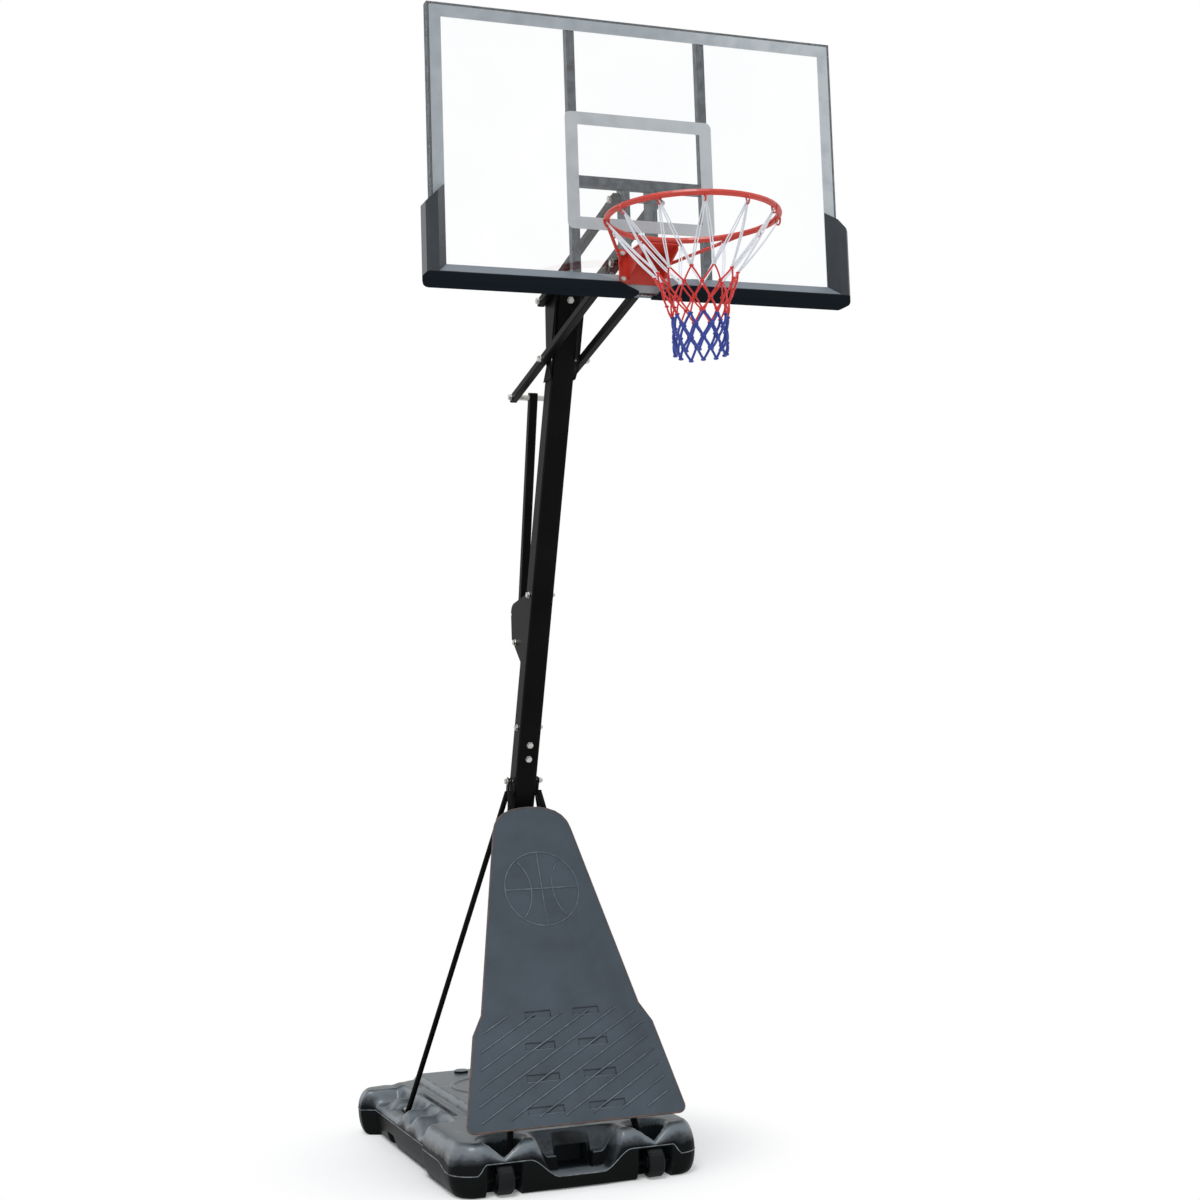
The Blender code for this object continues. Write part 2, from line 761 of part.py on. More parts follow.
def smooth_run(points, value):
    """Value read along (place, value) points that are joined by smooth turns."""
    for (low, start), (high, end) in zip(points, points[1:]):
        if value <= high:
            return start + (end - start) * smooth_step(value, low, high)
    return points[-1][1]


def base_straight_half(y):
    """Half width of the base without its rounded corners."""
    front = 1 - smooth_step(y, FRONT_BLOCK_Y, FRONT_BLOCK_Y + BLOCK_TURN)
    rear = smooth_step(y, REAR_BLOCK_Y - BLOCK_TURN, REAR_BLOCK_Y)
    wider = (BASE_FRONT_HALF - BASE_WAIST_HALF) * front + (BASE_REAR_HALF - BASE_WAIST_HALF) * rear
    return BASE_WAIST_HALF + wider


def past_corner(y):
    """How far a y lies past the centres of the rounded corners, below 0 between them."""
    return max(y - (BASE_REAR_Y - BASE_CORNER), BASE_FRONT_Y + BASE_CORNER - y)


def base_half(y):
    over = max(past_corner(y), 0.0)
    return base_straight_half(y) - BASE_CORNER + math.sqrt(max(BASE_CORNER**2 - over**2, 0.0))


def edge_distance(x, y):
    """Distance in from the base's outline."""
    over_x = abs(x) - (base_straight_half(y) - BASE_CORNER)
    over_y = past_corner(y)
    outside = math.hypot(max(over_x, 0.0), max(over_y, 0.0))
    return max(BASE_CORNER - outside - min(max(over_x, over_y), 0.0), 0.0)


def seam_height(x, y):
    """Height of the line where the two halves of the mould meet."""
    bay_side = WHEEL_X + WHEEL_BAY_HALF
    across_front = smooth_run(
        (
            (0.0, SEAM_LIP_Z),
            (SEAM_LIP_HALF, SEAM_LIP_Z),
            (SEAM_BAY_START, SEAM_BAY_Z),
            (bay_side, SEAM_BAY_Z),
            (bay_side + SEAM_TURN, SEAM_CORNER_Z),
        ),
        abs(x),
    )
    return across_front + (SEAM_Z - across_front) * smooth_step(y, SEAM_FRONT_Y, SEAM_SIDE_Y)


def side_height(y):
    """Height of the base along its sides: front block, scallop, two humps, pocket, rear block."""
    first_hump, second_hump = SIDE_HUMP_YS
    return smooth_run(
        (
            (FRONT_BLOCK_Y, BASE_TOP),
            (SCALLOP_Y, SCALLOP_FLOOR),
            (second_hump, SIDE_HUMP_TOP),
            ((first_hump + second_hump) / 2, SIDE_DIP),
            (first_hump, SIDE_HUMP_TOP),
            (SIDE_POCKET_FRONT_Y, SIDE_POCKET_FLOOR),
            (REAR_BLOCK_Y - POCKET_REAR_RAMP, SIDE_POCKET_FLOOR),
            (REAR_BLOCK_Y, REAR_BLOCK_TOP),
        ),
        y,
    )


def ridge_height(x, y):
    """Height of the rounded ridge that lies across each side pocket, 0 beside it."""
    inside = POCKET_RIDGE_RADIUS**2 - (y - POCKET_RIDGE_Y) ** 2
    end = base_straight_half(y) - POCKET_RIDGE_INSET - x
    if inside <= 0 or end <= 0:
        return 0.0
    rise = math.sqrt(inside) / POCKET_RIDGE_RADIUS * math.sqrt(min(end / POCKET_RIDGE_END, 1.0))
    return SIDE_POCKET_FLOOR + (POCKET_RIDGE_TOP - SIDE_POCKET_FLOOR) * rise


def notch_depth(x, y):
    """Depth of the V notch over each wheel, rounded at its shoulders."""
    front = 1 - smooth_step(y, BASE_FRONT_Y + NOTCH_REACH / 2, NOTCH_BACK_Y)
    beside = min(abs(x - WHEEL_X) / NOTCH_HALF_WIDTH, 1.0)
    return NOTCH_DEPTH * front * (1 - math.sin(beside * math.pi / 2))


def top_height(x, y):
    """Height of the base's upper skin before its edges are rounded."""
    x = abs(x)
    plateau = smooth_step(-x, -PLATEAU_HALF - PLATEAU_TURN, -PLATEAU_HALF)
    plateau *= smooth_step(y, PLATEAU_FRONT_Y - PLATEAU_FRONT_TURN, PLATEAU_FRONT_Y)
    height = BASE_TOP + PLATEAU_RISE * plateau
    outside = smooth_step(x, SIDE_INNER_X, SIDE_INNER_X + SIDE_RAMP)
    height += (side_height(y) - height) * outside
    height = max(height, ridge_height(x, y)) - notch_depth(x, y)
    scoop = 1 - smooth_step(x, SCOOP_FLOOR_HALF, SCOOP_TOP_HALF)
    scoop *= 1 - smooth_step(y, SCOOP_BACK_Y, SCOOP_BACK_Y + SCOOP_RAMP)
    return height + (SCOOP_LIP - height) * scoop


def skin_height(x, y, upper):
    """Height of the base's upper or lower skin, rounded down to the seam at the outline."""
    seam = seam_height(x, y)
    if upper:
        target, edge, start = top_height(x, y), BASE_TOP_EDGE, seam + SEAM_HALF
    else:
        target, edge, start = 0.0, BASE_LOWER_EDGE, seam - SEAM_HALF
    inward = min(edge_distance(x, y) / edge, 1.0)
    return start + (target - start) * math.sqrt(1 - (1 - inward) ** 2)


def edge_steps():
    """Distances in from an end or a side at which the rounded edge has its places."""
    return [BASE_TOP_EDGE * share for share in (0.0, 0.08, 0.3, 0.62, 1.0)]


def section_places(y):
    """X places from the middle to one side, closer together where the skin turns."""
    outer = [base_half(y) - step for step in reversed(edge_steps())]
    if y < NOTCH_BACK_Y:
        turn = (SCOOP_TOP_HALF - SCOOP_FLOOR_HALF) / 3
        inner = [0.0] + [SCOOP_FLOOR_HALF + turn * step for step in range(4)]
        inner += [WHEEL_X + NOTCH_HALF_WIDTH * share for share in (-1, -0.5, 0, 0.5, 1)]
    else:
        inner = [PLATEAU_HALF * share for share in (0, 0.3, 0.6, 0.85, 1)]
        inner += [PLATEAU_HALF + PLATEAU_TURN / 2, PLATEAU_HALF + PLATEAU_TURN, SIDE_INNER_X]
        inner += [SIDE_INNER_X + SIDE_RAMP / 2, SIDE_INNER_X + SIDE_RAMP]
    least = 0.002
    return [min(x, outer[0] - least * (len(inner) - i)) for i, x in enumerate(inner)] + outer


def section_ys():
    """Places of the base's sections from front to rear."""
    ramp = SCOOP_RAMP / 3
    places = [BASE_FRONT_Y + step for step in edge_steps()]
    places += [SCOOP_BACK_Y + ramp * step for step in (-2, 0, 1, 2, 3)]
    places += [(SCOOP_BACK_Y + SCOOP_RAMP + NOTCH_BACK_Y) / 2, NOTCH_BACK_Y]
    stops = (FRONT_BLOCK_Y, SCALLOP_Y, *reversed(SIDE_HUMP_YS), SIDE_POCKET_FRONT_Y)
    for low, high in zip(stops, stops[1:]):
        places += [low + (high - low) * step / 4 for step in range(4)]
    places.append(SIDE_POCKET_FRONT_Y)
    for share in (-1, -0.9, -0.5, 0, 0.5, 0.9, 1):
        places.append(POCKET_RIDGE_Y + POCKET_RIDGE_RADIUS * share)
    places += [REAR_BLOCK_Y - POCKET_REAR_RAMP * step / 4 for step in range(5)]
    return sorted(places + [BASE_REAR_Y - step for step in edge_steps()])


def base_section(y):
    """Closed ring of points round the base at a y: over the top, then back underneath."""
    places = section_places(y)
    places = [-x for x in reversed(places)] + places[1:]
    ring = [(x, y, skin_height(x, y, True)) for x in places]
    return ring + [(x, y, skin_height(x, y, False)) for x in reversed(places)]


def build_base():
    """Blow-moulded tank: lofted sections with both skins rounded down to the mould seam.

    Level stretches are merged into one face, then split into triangles, so that every face is flat.
    """
    base = loft("base_tank", [base_section(y) for y in section_ys()], surface=base_plastic())
    shape = bmesh.new()
    shape.from_mesh(base.data)
    bmesh.ops.dissolve_limit(
        shape, angle_limit=math.radians(0.05), verts=shape.verts, edges=shape.edges
    )
    bmesh.ops.triangulate(shape, faces=shape.faces)
    shape.to_mesh(base.data)
    shape.free()
    cut_front(base)
    cut_sides(base)
    cut_pole_socket(base)
    cut_filler(base)
    return base


def cut_front(base):
    """Window behind the centre scoop, and on each side a wheel bay under a strut well."""
    sill = SCOOP_LIP + WINDOW_SILL
    window = span_box(
        "window",
        (-WINDOW_WIDTH / 2, SCOOP_BACK_Y - OVERRUN, sill),
        (WINDOW_WIDTH / 2, SCOOP_BACK_Y + WINDOW_DEPTH, sill + WINDOW_HEIGHT),
        cutter=True,
    )
    cut(base, window)
    bay_rear = WHEEL_Y + WHEEL_RADIUS + WHEEL_BAY_PLAY
    well_half = WHEEL_BAY_HALF + WELL_PLAY
    for side in (-1, 1):
        tag, sign = mirrored(side)
        middle = sign * WHEEL_X
        well_x = sign * (WHEEL_X - WELL_INWARD)
        bay = span_box(
            f"wheel_bay_{tag}",
            (middle - WHEEL_BAY_HALF, BASE_FRONT_Y - OVERRUN, -OVERRUN),
            (middle + WHEEL_BAY_HALF, bay_rear, WHEEL_BAY_TOP),
            cutter=True,
        )
        well = span_box(
            f"strut_well_{tag}",
            (well_x - well_half, BASE_FRONT_Y + WELL_WALL, WHEEL_BAY_TOP - WELL_OVERLAP),
            (well_x + well_half, bay_rear + WELL_REAR, BASE_TOP + OVERRUN),
            cutter=True,
            bevel=WELL_ROUND,
        )
        cut(base, bay, well)
        drill(
            base,
            across(WHEEL_Y, WHEEL_Z, middle),
            AXLE_RADIUS + HOLE_PLAY,
            2 * (WHEEL_BAY_HALF + AXLE_SEAT + GAP),
        )


def cut_sides(base):
    """Hand notches under the brace pockets, and a groove along each side of the deck."""
    for side in (-1, 1):
        tag, sign = mirrored(side)
        outer = sign * (BASE_REAR_HALF + OVERRUN)
        low_x, high_x = sorted((outer, sign * (BASE_WAIST_HALF - GRIP_NOTCH_DEPTH)))
        grip = span_box(
            f"grip_notch_{tag}",
            (low_x, GRIP_NOTCH_Y - GRIP_NOTCH_LENGTH / 2, -OVERRUN),
            (high_x, GRIP_NOTCH_Y + GRIP_NOTCH_LENGTH / 2, GRIP_NOTCH_HEIGHT),
            cutter=True,
            bevel=GRIP_NOTCH_ROUND,
        )
        groove = span_box(
            f"groove_{tag}",
            (sign * GROOVE_X - GROOVE_WIDTH / 2, GROOVE_FRONT_Y, BASE_TOP - GROOVE_DEPTH),
            (sign * GROOVE_X + GROOVE_WIDTH / 2, GROOVE_REAR_Y, BASE_TOP + OVERRUN),
            cutter=True,
        )
        cut(base, grip, groove)


def cut_pole_socket(base):
    size = POLE_SIZE + 2 * POLE_SOCKET_PLAY
    depth = 0.30
    place = pole_frame(POLE_FOOT_Z) @ Matrix.Translation((0, 0, depth / 2 - GAP))
    cut(base, box("pole_socket", (size, size, depth), place, cutter=True))


def filler_frame():
    return Matrix.Translation((FILLER_X, BASE_REAR_Y - FILLER_INSET, BASE_TOP + PLATEAU_RISE))


def cut_filler(base):
    drill(base, filler_frame(), FILLER_RADIUS - FILLER_FLANGE + GAP, 2 * FILLER_NECK)


def build_filler_cap():
    neck = FILLER_RADIUS - FILLER_FLANGE
    profile = (
        (0, FILLER_HEIGHT),
        (FILLER_RADIUS - FILLER_CHAMFER, FILLER_HEIGHT),
        (FILLER_RADIUS, FILLER_HEIGHT - FILLER_CHAMFER),
        (FILLER_RADIUS, GAP),
        (neck - 2 * GAP, GAP),
        (neck - 3 * GAP, GAP - FILLER_NECK),
        (0, GAP - FILLER_NECK),
    )
    turned("filler_cap", profile, 16, filler_frame(), base_plastic())


def build_wheel(side):
    tag, sign = mirrored(side)
    centre = Matrix.Translation((sign * WHEEL_X, WHEEL_Y, WHEEL_Z))
    half = WHEEL_WIDTH / 2
    bore = AXLE_RADIUS + HOLE_PLAY
    profile = [
        (bore, half),
        (WHEEL_HUB_RADIUS, half),
        (WHEEL_HUB_RADIUS, half - WHEEL_DISH),
        (WHEEL_RADIUS - WHEEL_RIM, half - WHEEL_DISH),
        (WHEEL_RADIUS - WHEEL_RIM_TOP, half),
        (WHEEL_RADIUS - WHEEL_SHOULDER, half),
        (WHEEL_RADIUS, half - WHEEL_SHOULDER_DROP),
    ]
    profile += [(radius, -height) for radius, height in reversed(profile)]
    place = centre @ Matrix.Rotation(math.radians(90), 4, "Y")
    turned(f"wheel_{tag}", profile, 24, place, wheel_plastic())


def build_axle(side):
    tag, sign = mirrored(side)
    length = 2 * (WHEEL_BAY_HALF + AXLE_SEAT)
    cylinder(
        f"wheel_axle_{tag}",
        AXLE_RADIUS,
        length,
        across(WHEEL_Y, WHEEL_Z, sign * WHEEL_X),
        black_steel(),
        sides=12,
    )


def pole_bar(name, size, low, high, corner, surface=None, cutter=False):
    """Square bar with rounded corners between two distances up the pole."""
    outline = rounded_rectangle(size, size, corner, 2)
    place = pole_frame(POLE_FOOT_Z) @ Matrix.Translation((0, 0, (low + high) / 2))
    return outline_solid(name, [outline], high - low, place, surface, cutter)


def build_pole_section(name, foot_z, top_z, insert):
    """Hollow square section, with a reduced upper end that the next section slides over."""
    low, high = along_pole(foot_z), along_pole(top_z)
    bore = POLE_SIZE - 2 * POLE_WALL
    corner = POLE_CORNER - POLE_WALL
    beyond = OVERRUN / 2
    section = pole_bar(name, POLE_SIZE, low, high, POLE_CORNER, black_steel())
    if not insert:
        cut(section, pole_bar(f"{name}_bore", bore, low - beyond, high + beyond, corner, cutter=True))
        return section
    neck = bore - 2 * GAP
    narrow = neck - 2 * POLE_WALL
    step = high - POLE_SHOULDER
    reduced = pole_bar(
        f"{name}_reduced", neck, high - POLE_SHOULDER / 2, high + insert, corner, cutter=True
    )
    hollow = pole_bar(f"{name}_bore", bore, low - beyond, step, corner, cutter=True)
    throat = pole_bar(
        f"{name}_throat", narrow, low - beyond / 2, high + insert + beyond, POLE_CORNER / 2, cutter=True
    )
    join(section, reduced)
    cut(section, hollow, throat)
    return section


def build_pole():
    lower = build_pole_section("pole_lower", POLE_FOOT_Z, LOWER_SEAM_Z, POLE_INSERT)
    middle = build_pole_section("pole_middle", LOWER_SEAM_Z + GAP, UPPER_SEAM_Z, POLE_INSERT)
    upper = build_pole_section("pole_upper", UPPER_SEAM_Z + GAP, POLE_TOP_Z, 0)
    drill_across(lower, (MAIN_BOLT_Y, MAIN_BOLT_Z))
    for section in (middle, upper):
        drill_across(section, (pole_y(UPPER_JOINT_BOLT_Z), UPPER_JOINT_BOLT_Z))
    for section in (lower, middle):
        drill_across(section, (pole_y(SIDE_BOLT_Z), SIDE_BOLT_Z))
        for height in FRONT_BOLT_HEIGHTS:
            drill(section, from_front(height), BOLT_RADIUS + HOLE_PLAY, DRILL_ACROSS)
    drill_across(upper, LOWER_PIVOT)
    front = from_front(HEAD_BOLT_Z)
    drill(upper, front, BOLT_RADIUS + HOLE_PLAY, 2 * (HEAD_BOLT_LENGTH + HEAD_BOLT_PLAY))
    bolt_across("upper_joint_bolt", (pole_y(UPPER_JOINT_BOLT_Z), UPPER_JOINT_BOLT_Z), POLE_HALF)
    bolt_across("side_joint_bolt", (pole_y(SIDE_BOLT_Z), SIDE_BOLT_Z), POLE_HALF)
    for name, height in zip(("front_bolt_upper", "front_bolt_lower"), FRONT_BOLT_HEIGHTS):
        bolt(name, from_front(height), POLE_SIZE)
    bolt("head_bolt", front, HEAD_BOLT_LENGTH, nut=False)
    build_pole_cap()


def from_front(height):
    """Matrix on the pole's front face with its Z axis pointing back through the pole."""
    face = pole_frame(height) @ Matrix.Translation((0, -POLE_HALF, 0))
    back = face.to_3x3() @ Vector((0, 1, 0))
    return frame_at(face.translation, back)


def build_pole_cap():
    high = along_pole(POLE_TOP_Z)
    bore = POLE_SIZE - 2 * POLE_WALL
    cap = pole_bar("pole_cap", POLE_SIZE, high + GAP, high + GAP + CAP_FLANGE, POLE_CORNER, base_plastic())
    plug_low, plug_high = high - CAP_DEPTH, high + CAP_FLANGE / 2
    corner = POLE_CORNER - POLE_WALL
    plug = pole_bar("pole_cap_plug", bore - 2 * GAP, plug_low, plug_high, corner, cutter=True)
    join(cap, plug)


def build_struts():
    """Front struts from the main bolt to the wheel axles, and braces to the side pockets."""
    strut_top_x = POLE_HALF + GAP + STRUT_EYE_OFFSET
    brace_top_x = strut_top_x + BRACE_EYE_STEP
    for side in (-1, 1):
        tag, sign = mirrored(side)
        build_front_strut(
            f"front_strut_{tag}",
            (sign * strut_top_x, MAIN_BOLT_Y, MAIN_BOLT_Z),
            (sign * STRUT_FOOT_X, WHEEL_Y, WHEEL_Z),
        )
        foot_x = sign * (BASE_WAIST_HALF - BRACE_FOOT_INSET)
        foot = Vector((foot_x, BRACE_FOOT_Y, SIDE_POCKET_FLOOR + GAP + TAB_THICKNESS / 2))
        build_brace(tag, (sign * brace_top_x, MAIN_BOLT_Y, MAIN_BOLT_Z), foot)
    bolt_across("main_bolt", (MAIN_BOLT_Y, MAIN_BOLT_Z), brace_top_x + TAB_THICKNESS / 2 + 2 * GAP)


def end_tab(name, point, direction, run):
    """Flat eye in a plane across X, reaching from a pivot point along a strut."""
    flat = Vector((0, direction.y, direction.z)).normalized()
    middle = Vector(point) + flat * (run / 2 - TAB_WIDTH / 4)
    size = (TAB_THICKNESS, TAB_WIDTH, run + TAB_WIDTH / 2)
    return box(name, size, frame_at(middle, flat), cutter=True)


def strut_flat():
    """Direction of the front struts' flat eyes, from the main bolt down to the wheel axles."""
    return Vector((0, WHEEL_Y - MAIN_BOLT_Y, WHEEL_Z - MAIN_BOLT_Z)).normalized()


def strut_axis(sign):
    """Upper and lower end of a front strut's tube, clear of the pole and of the wheel."""
    flat = strut_flat()
    top_share, foot_share = 0.65, 0.75
    top = Vector((0, MAIN_BOLT_Y, MAIN_BOLT_Z)) + flat * EYE_LENGTH * top_share
    foot = Vector((0, WHEEL_Y, WHEEL_Z)) - flat * FOOT_EYE_LENGTH * foot_share
    top.x = sign * (POLE_HALF + STRUT_RADIUS + STRUT_POLE_PLAY)
    foot.x = sign * STRUT_FOOT_X
    return top, foot


def build_front_strut(name, top, foot):
    """Strut with a flat eye at each end."""
    top, foot = Vector(top), Vector(foot)
    flat = strut_flat()
    place, length = between(*strut_axis(math.copysign(1, top.x)))
    strut = cylinder(name, STRUT_RADIUS, length, place, black_steel(), sides=12)
    join(strut, end_tab(f"{name}_eye_top", top, flat, EYE_LENGTH))
    join(strut, end_tab(f"{name}_eye_foot", foot, -flat, FOOT_EYE_LENGTH))
    drill_across(strut, (top.y, top.z), x=top.x, length=DRILL_TAB)
    drill_across(strut, (foot.y, foot.z), AXLE_RADIUS, x=foot.x, length=DRILL_TAB)


def build_brace(tag, top, foot):
    """Brace rod with a flat eye above and a screwed foot plate in the side pocket."""
    top = Vector(top)
    axis = (foot - top).normalized()
    flat = Vector((0, axis.y, axis.z)).normalized()
    eye_share = 0.65
    start = top + flat * EYE_LENGTH * eye_share
    place, length = between(start, foot + axis * BRACE_RADIUS)
    brace = cylinder(f"side_brace_{tag}", BRACE_RADIUS, length, place, black_steel(), sides=12)
    trim = 0.10
    under = foot - Vector((0, 0, TAB_THICKNESS / 2 + trim / 2))
    cut(brace, box(f"side_brace_{tag}_trim", (trim, trim, trim), Matrix.Translation(under), cutter=True))
    join(brace, end_tab(f"side_brace_{tag}_eye", top, flat, EYE_LENGTH))
    plate_centre = foot + Vector((0, BRACE_FOOT_PLATE / 4, 0))
    plate = box(
        f"side_brace_{tag}_plate",
        (BRACE_FOOT_PLATE * 0.6, BRACE_FOOT_PLATE * 1.3, TAB_THICKNESS),
        Matrix.Translation(plate_centre),
        cutter=True,
    )
    join(brace, plate)
    drill_across(brace, (top.y, top.z), x=top.x, length=DRILL_TAB)
    screw_at = foot + Vector((0, BRACE_FOOT_PLATE * 0.62, TAB_THICKNESS / 2))
    hole = frame_at(screw_at, (0, 0, -1))
    drill(brace, hole, BOLT_RADIUS * SMALL_BOLT + HOLE_PLAY, DRILL_TAB)
    deep = 2 * (BRACE_SCREW_LENGTH + BRACE_SCREW_PLAY)
    drill(bpy.data.objects["base_tank"], hole, BOLT_RADIUS * SMALL_BOLT + HOLE_PLAY, deep)
    bolt(f"brace_foot_screw_{tag}", hole, BRACE_SCREW_LENGTH, SMALL_BOLT, nut=False)


def panel_half_width(height):
    """Half width of the guard panel below its rounded head, at a distance up its face."""
    steps = (
        (0.0, PANEL_BOTTOM_HALF),
        (PANEL_LOW_KINK, PANEL_LOW_KINK_HALF),
        (PANEL_HIGH_KINK, PANEL_HIGH_KINK_HALF),
        (PANEL_SHOULDER, PANEL_SHOULDER_HALF),
    )
    for (low, wide), (high, narrow) in zip(steps, steps[1:]):
        if height <= high:
            return wide + (narrow - wide) * (height - low) / (high - low)
    return PANEL_SHOULDER_HALF


def panel_outline():
    slope = (PANEL_HIGH_KINK_HALF - PANEL_SHOULDER_HALF) / (PANEL_SHOULDER - PANEL_HIGH_KINK)
    rise_share, flat_share = 0.72, 0.55
    rise = (PANEL_HEIGHT - PANEL_SHOULDER) * rise_share
    half = arc((PANEL_BOTTOM_HALF - PANEL_CORNER, PANEL_CORNER), PANEL_CORNER, -90, 8, 4)
    half += [(PANEL_LOW_KINK_HALF, PANEL_LOW_KINK), (PANEL_HIGH_KINK_HALF, PANEL_HIGH_KINK)]
    half += bezier(
        (PANEL_SHOULDER_HALF, PANEL_SHOULDER),
        (PANEL_SHOULDER_HALF - slope * rise, PANEL_SHOULDER + rise),
        (PANEL_SHOULDER_HALF * flat_share, PANEL_HEIGHT),
        (0.0, PANEL_HEIGHT),
        6,
    )
    return half + [(-x, y) for x, y in reversed(half[:-1])]


def panel_frame():
    """Matrix at the panel's lower edge: X across it, Y up its face, Z out of its front."""
    up = Vector((0, math.sin(PANEL_LEAN), math.cos(PANEL_LEAN)))
    out = Vector((0, -math.cos(PANEL_LEAN), math.sin(PANEL_LEAN)))
    run = strut_flat()
    reach = (MAIN_BOLT_Z - PANEL_REST_Z) / -run.z
    front = max(STRUT_RADIUS, TAB_WIDTH / 2) + GAP
    rest = Vector((0, MAIN_BOLT_Y, MAIN_BOLT_Z)) + run * reach + Vector((0, run.z, -run.y)) * front
    rest += out * PANEL_THICKNESS
    foot = rest - up * (rest.z - PANEL_BOTTOM_Z) / up.z
    return frame_at(foot, out)


def build_panel():
    front = panel_frame()
    middle = front @ Matrix.Translation((0, 0, -PANEL_THICKNESS / 2))
    outlines = [panel_outline()]
    panel = outline_solid(
        "guard_panel", outlines, PANEL_THICKNESS, middle, panel_plastic(), edge=PANEL_EDGE
    )
    panel_clips(panel, front)
    round_slots(panel, front)
    join(panel, diagonal_ribs(front))
    for index, (line, closed) in enumerate(ball_lines()):
        points = [front @ Vector((x, y, 0)) for x, y in line]
        name = f"ball_line_{index}"
        join(panel, wire(name, points, LINE_RADIUS, cutter=True, closed=closed, resolution=0))


def panel_clips(panel, front):
    """Legs moulded behind the panel that snap round the front struts."""
    for side in (-1, 1):
        tag, sign = mirrored(side)
        top, foot = strut_axis(sign)
        axis = (foot - top).normalized()
        point = top + axis * (top.z - CLIP_Z) / -axis.z
        local = front.inverted() @ point
        held_share = 0.6
        depth = -local.z + STRUT_RADIUS * held_share
        middle = Vector((local.x, local.y, -PANEL_THICKNESS / 2 - depth / 2))
        size = (CLIP_WIDTH, CLIP_HEIGHT, depth)
        clip = box(f"clip_{tag}", size, front @ Matrix.Translation(middle), cutter=True)
        join(panel, clip)
        groove = frame_at(point, axis)
        drill(panel, groove, STRUT_RADIUS + GAP, CLIP_DRILL)


def inside_rib_field(x, y):
    return RIB_MARGIN < y < RIB_FIELD_TOP and abs(x) < panel_half_width(y) - RIB_MARGIN


def diagonal_ribs(front):
    """Parallel ribs clipped to the panel's lower field, as one mesh of separate bars."""
    across_ribs = Vector((-math.sin(RIB_ANGLE), math.cos(RIB_ANGLE)))
    along_ribs = Vector((math.cos(RIB_ANGLE), math.sin(RIB_ANGLE)))
    middle = Vector((0, RIB_FIELD_TOP / 2))
    spacing = 0.003
    shape = bmesh.new()
    for index in range(RIB_COUNT):
        offset = middle + across_ribs * RIB_SPACING * (index - (RIB_COUNT - 1) / 2)
        inside = []
        for step in range(-200, 201):
            point = offset + along_ribs * step * spacing
            if inside_rib_field(point.x, point.y):
                inside.append(point)
        if len(inside) < 8:
            continue
        start, end = inside[0], inside[-1]
        centre = (start + end) / 2
        turn = Matrix.Rotation(RIB_ANGLE, 4, "Z")
        size = Matrix.Diagonal(((end - start).length, RIB_WIDTH, 2 * RIB_HEIGHT, 1))
        place = Matrix.Translation((centre.x, centre.y, 0)) @ turn @ size
        bmesh.ops.create_cube(shape, size=1.0, matrix=place)
    return from_bmesh("ribs", shape, front, cutter=True)


def round_slots(panel, front):
    for row in range(SLOT_ROWS):
        for side in (-1, 1):
            x = side * (SLOT_FIRST_X + SLOT_SPREAD * row)
            y = SLOT_FIRST_HEIGHT - SLOT_ROW_STEP * row
            place = front @ Matrix.Translation((x, y, 0))
            size = (SLOT_LENGTH + SLOT_LENGTH_STEP * row, SLOT_WIDTH, 2 * SLOT_DEPTH)
            cut(panel, box(f"slot_{row}_{side}", size, place, cutter=True))


def ball_lines():
    """Circle, upright, level line and two side arcs of a plain ball, each with a closed flag."""
    centre = (0.0, BALL_HEIGHT)
    inner = BALL_RADIUS - LINE_RADIUS / 2
    circle = arc(centre, BALL_RADIUS, 0, 348.75, 31)
    upright = [(0.0, BALL_HEIGHT - inner), (0.0, BALL_HEIGHT + inner)]
    level = [(-inner, BALL_HEIGHT), (inner, BALL_HEIGHT)]
    bow, aside, sweep = BALL_RADIUS * 1.15, 1.25, 41
    left = arc((centre[0] - bow * aside, centre[1]), bow, -sweep, sweep, 8)
    right = [(-x, y) for x, y in left]
    return [(circle, True), (upright, False), (level, False), (left, False), (right, False)]


def build_head_cheek(side):
    """Side plate of the pole head: flared out from the pole to carry both rear pivots."""
    tag, sign = mirrored(side)
    plate_x = CHEEK_OUTER_X - CHEEK_THICKNESS / 2
    foot_x = POLE_HALF + GAP + CHEEK_THICKNESS / 2 + CHEEK_FOLD_PLAY
    rows = (
        (foot_x, CHEEK_FOOT_Z, pole_rear_y(CHEEK_FOOT_Z) - CHEEK_FOOT_INSET),
        (plate_x, CHEEK_FLARE_Z, LOWER_PIVOT[0] + CHEEK_REAR_LOW),
        (plate_x, CHEEK_TOP_Z, UPPER_PIVOT[0] + CHEEK_REAR_TOP),
    )
    shape = bmesh.new()
    edges = []
    for x, z, rear in rows:
        front = pole_y(z) - POLE_HALF_LEVEL
        edges.append([shape.verts.new((sign * x, y, z)) for y in (front, rear)])
    for low, high in zip(edges, edges[1:]):
        shape.faces.new((low[0], low[1], high[1], high[0]))
    bmesh.ops.recalc_face_normals(shape, faces=shape.faces)
    cheek = from_bmesh(f"head_cheek_{tag}", shape, surface=black_steel())
    skin = cheek.modifiers.new("plate", "SOLIDIFY")
    skin.thickness = CHEEK_THICKNESS
    skin.offset = 0
    skin.use_even_offset = True
    for pivot in (LOWER_PIVOT, UPPER_PIVOT):
        drill_across(cheek, pivot, x=sign * plate_x, length=DRILL_PLATE)


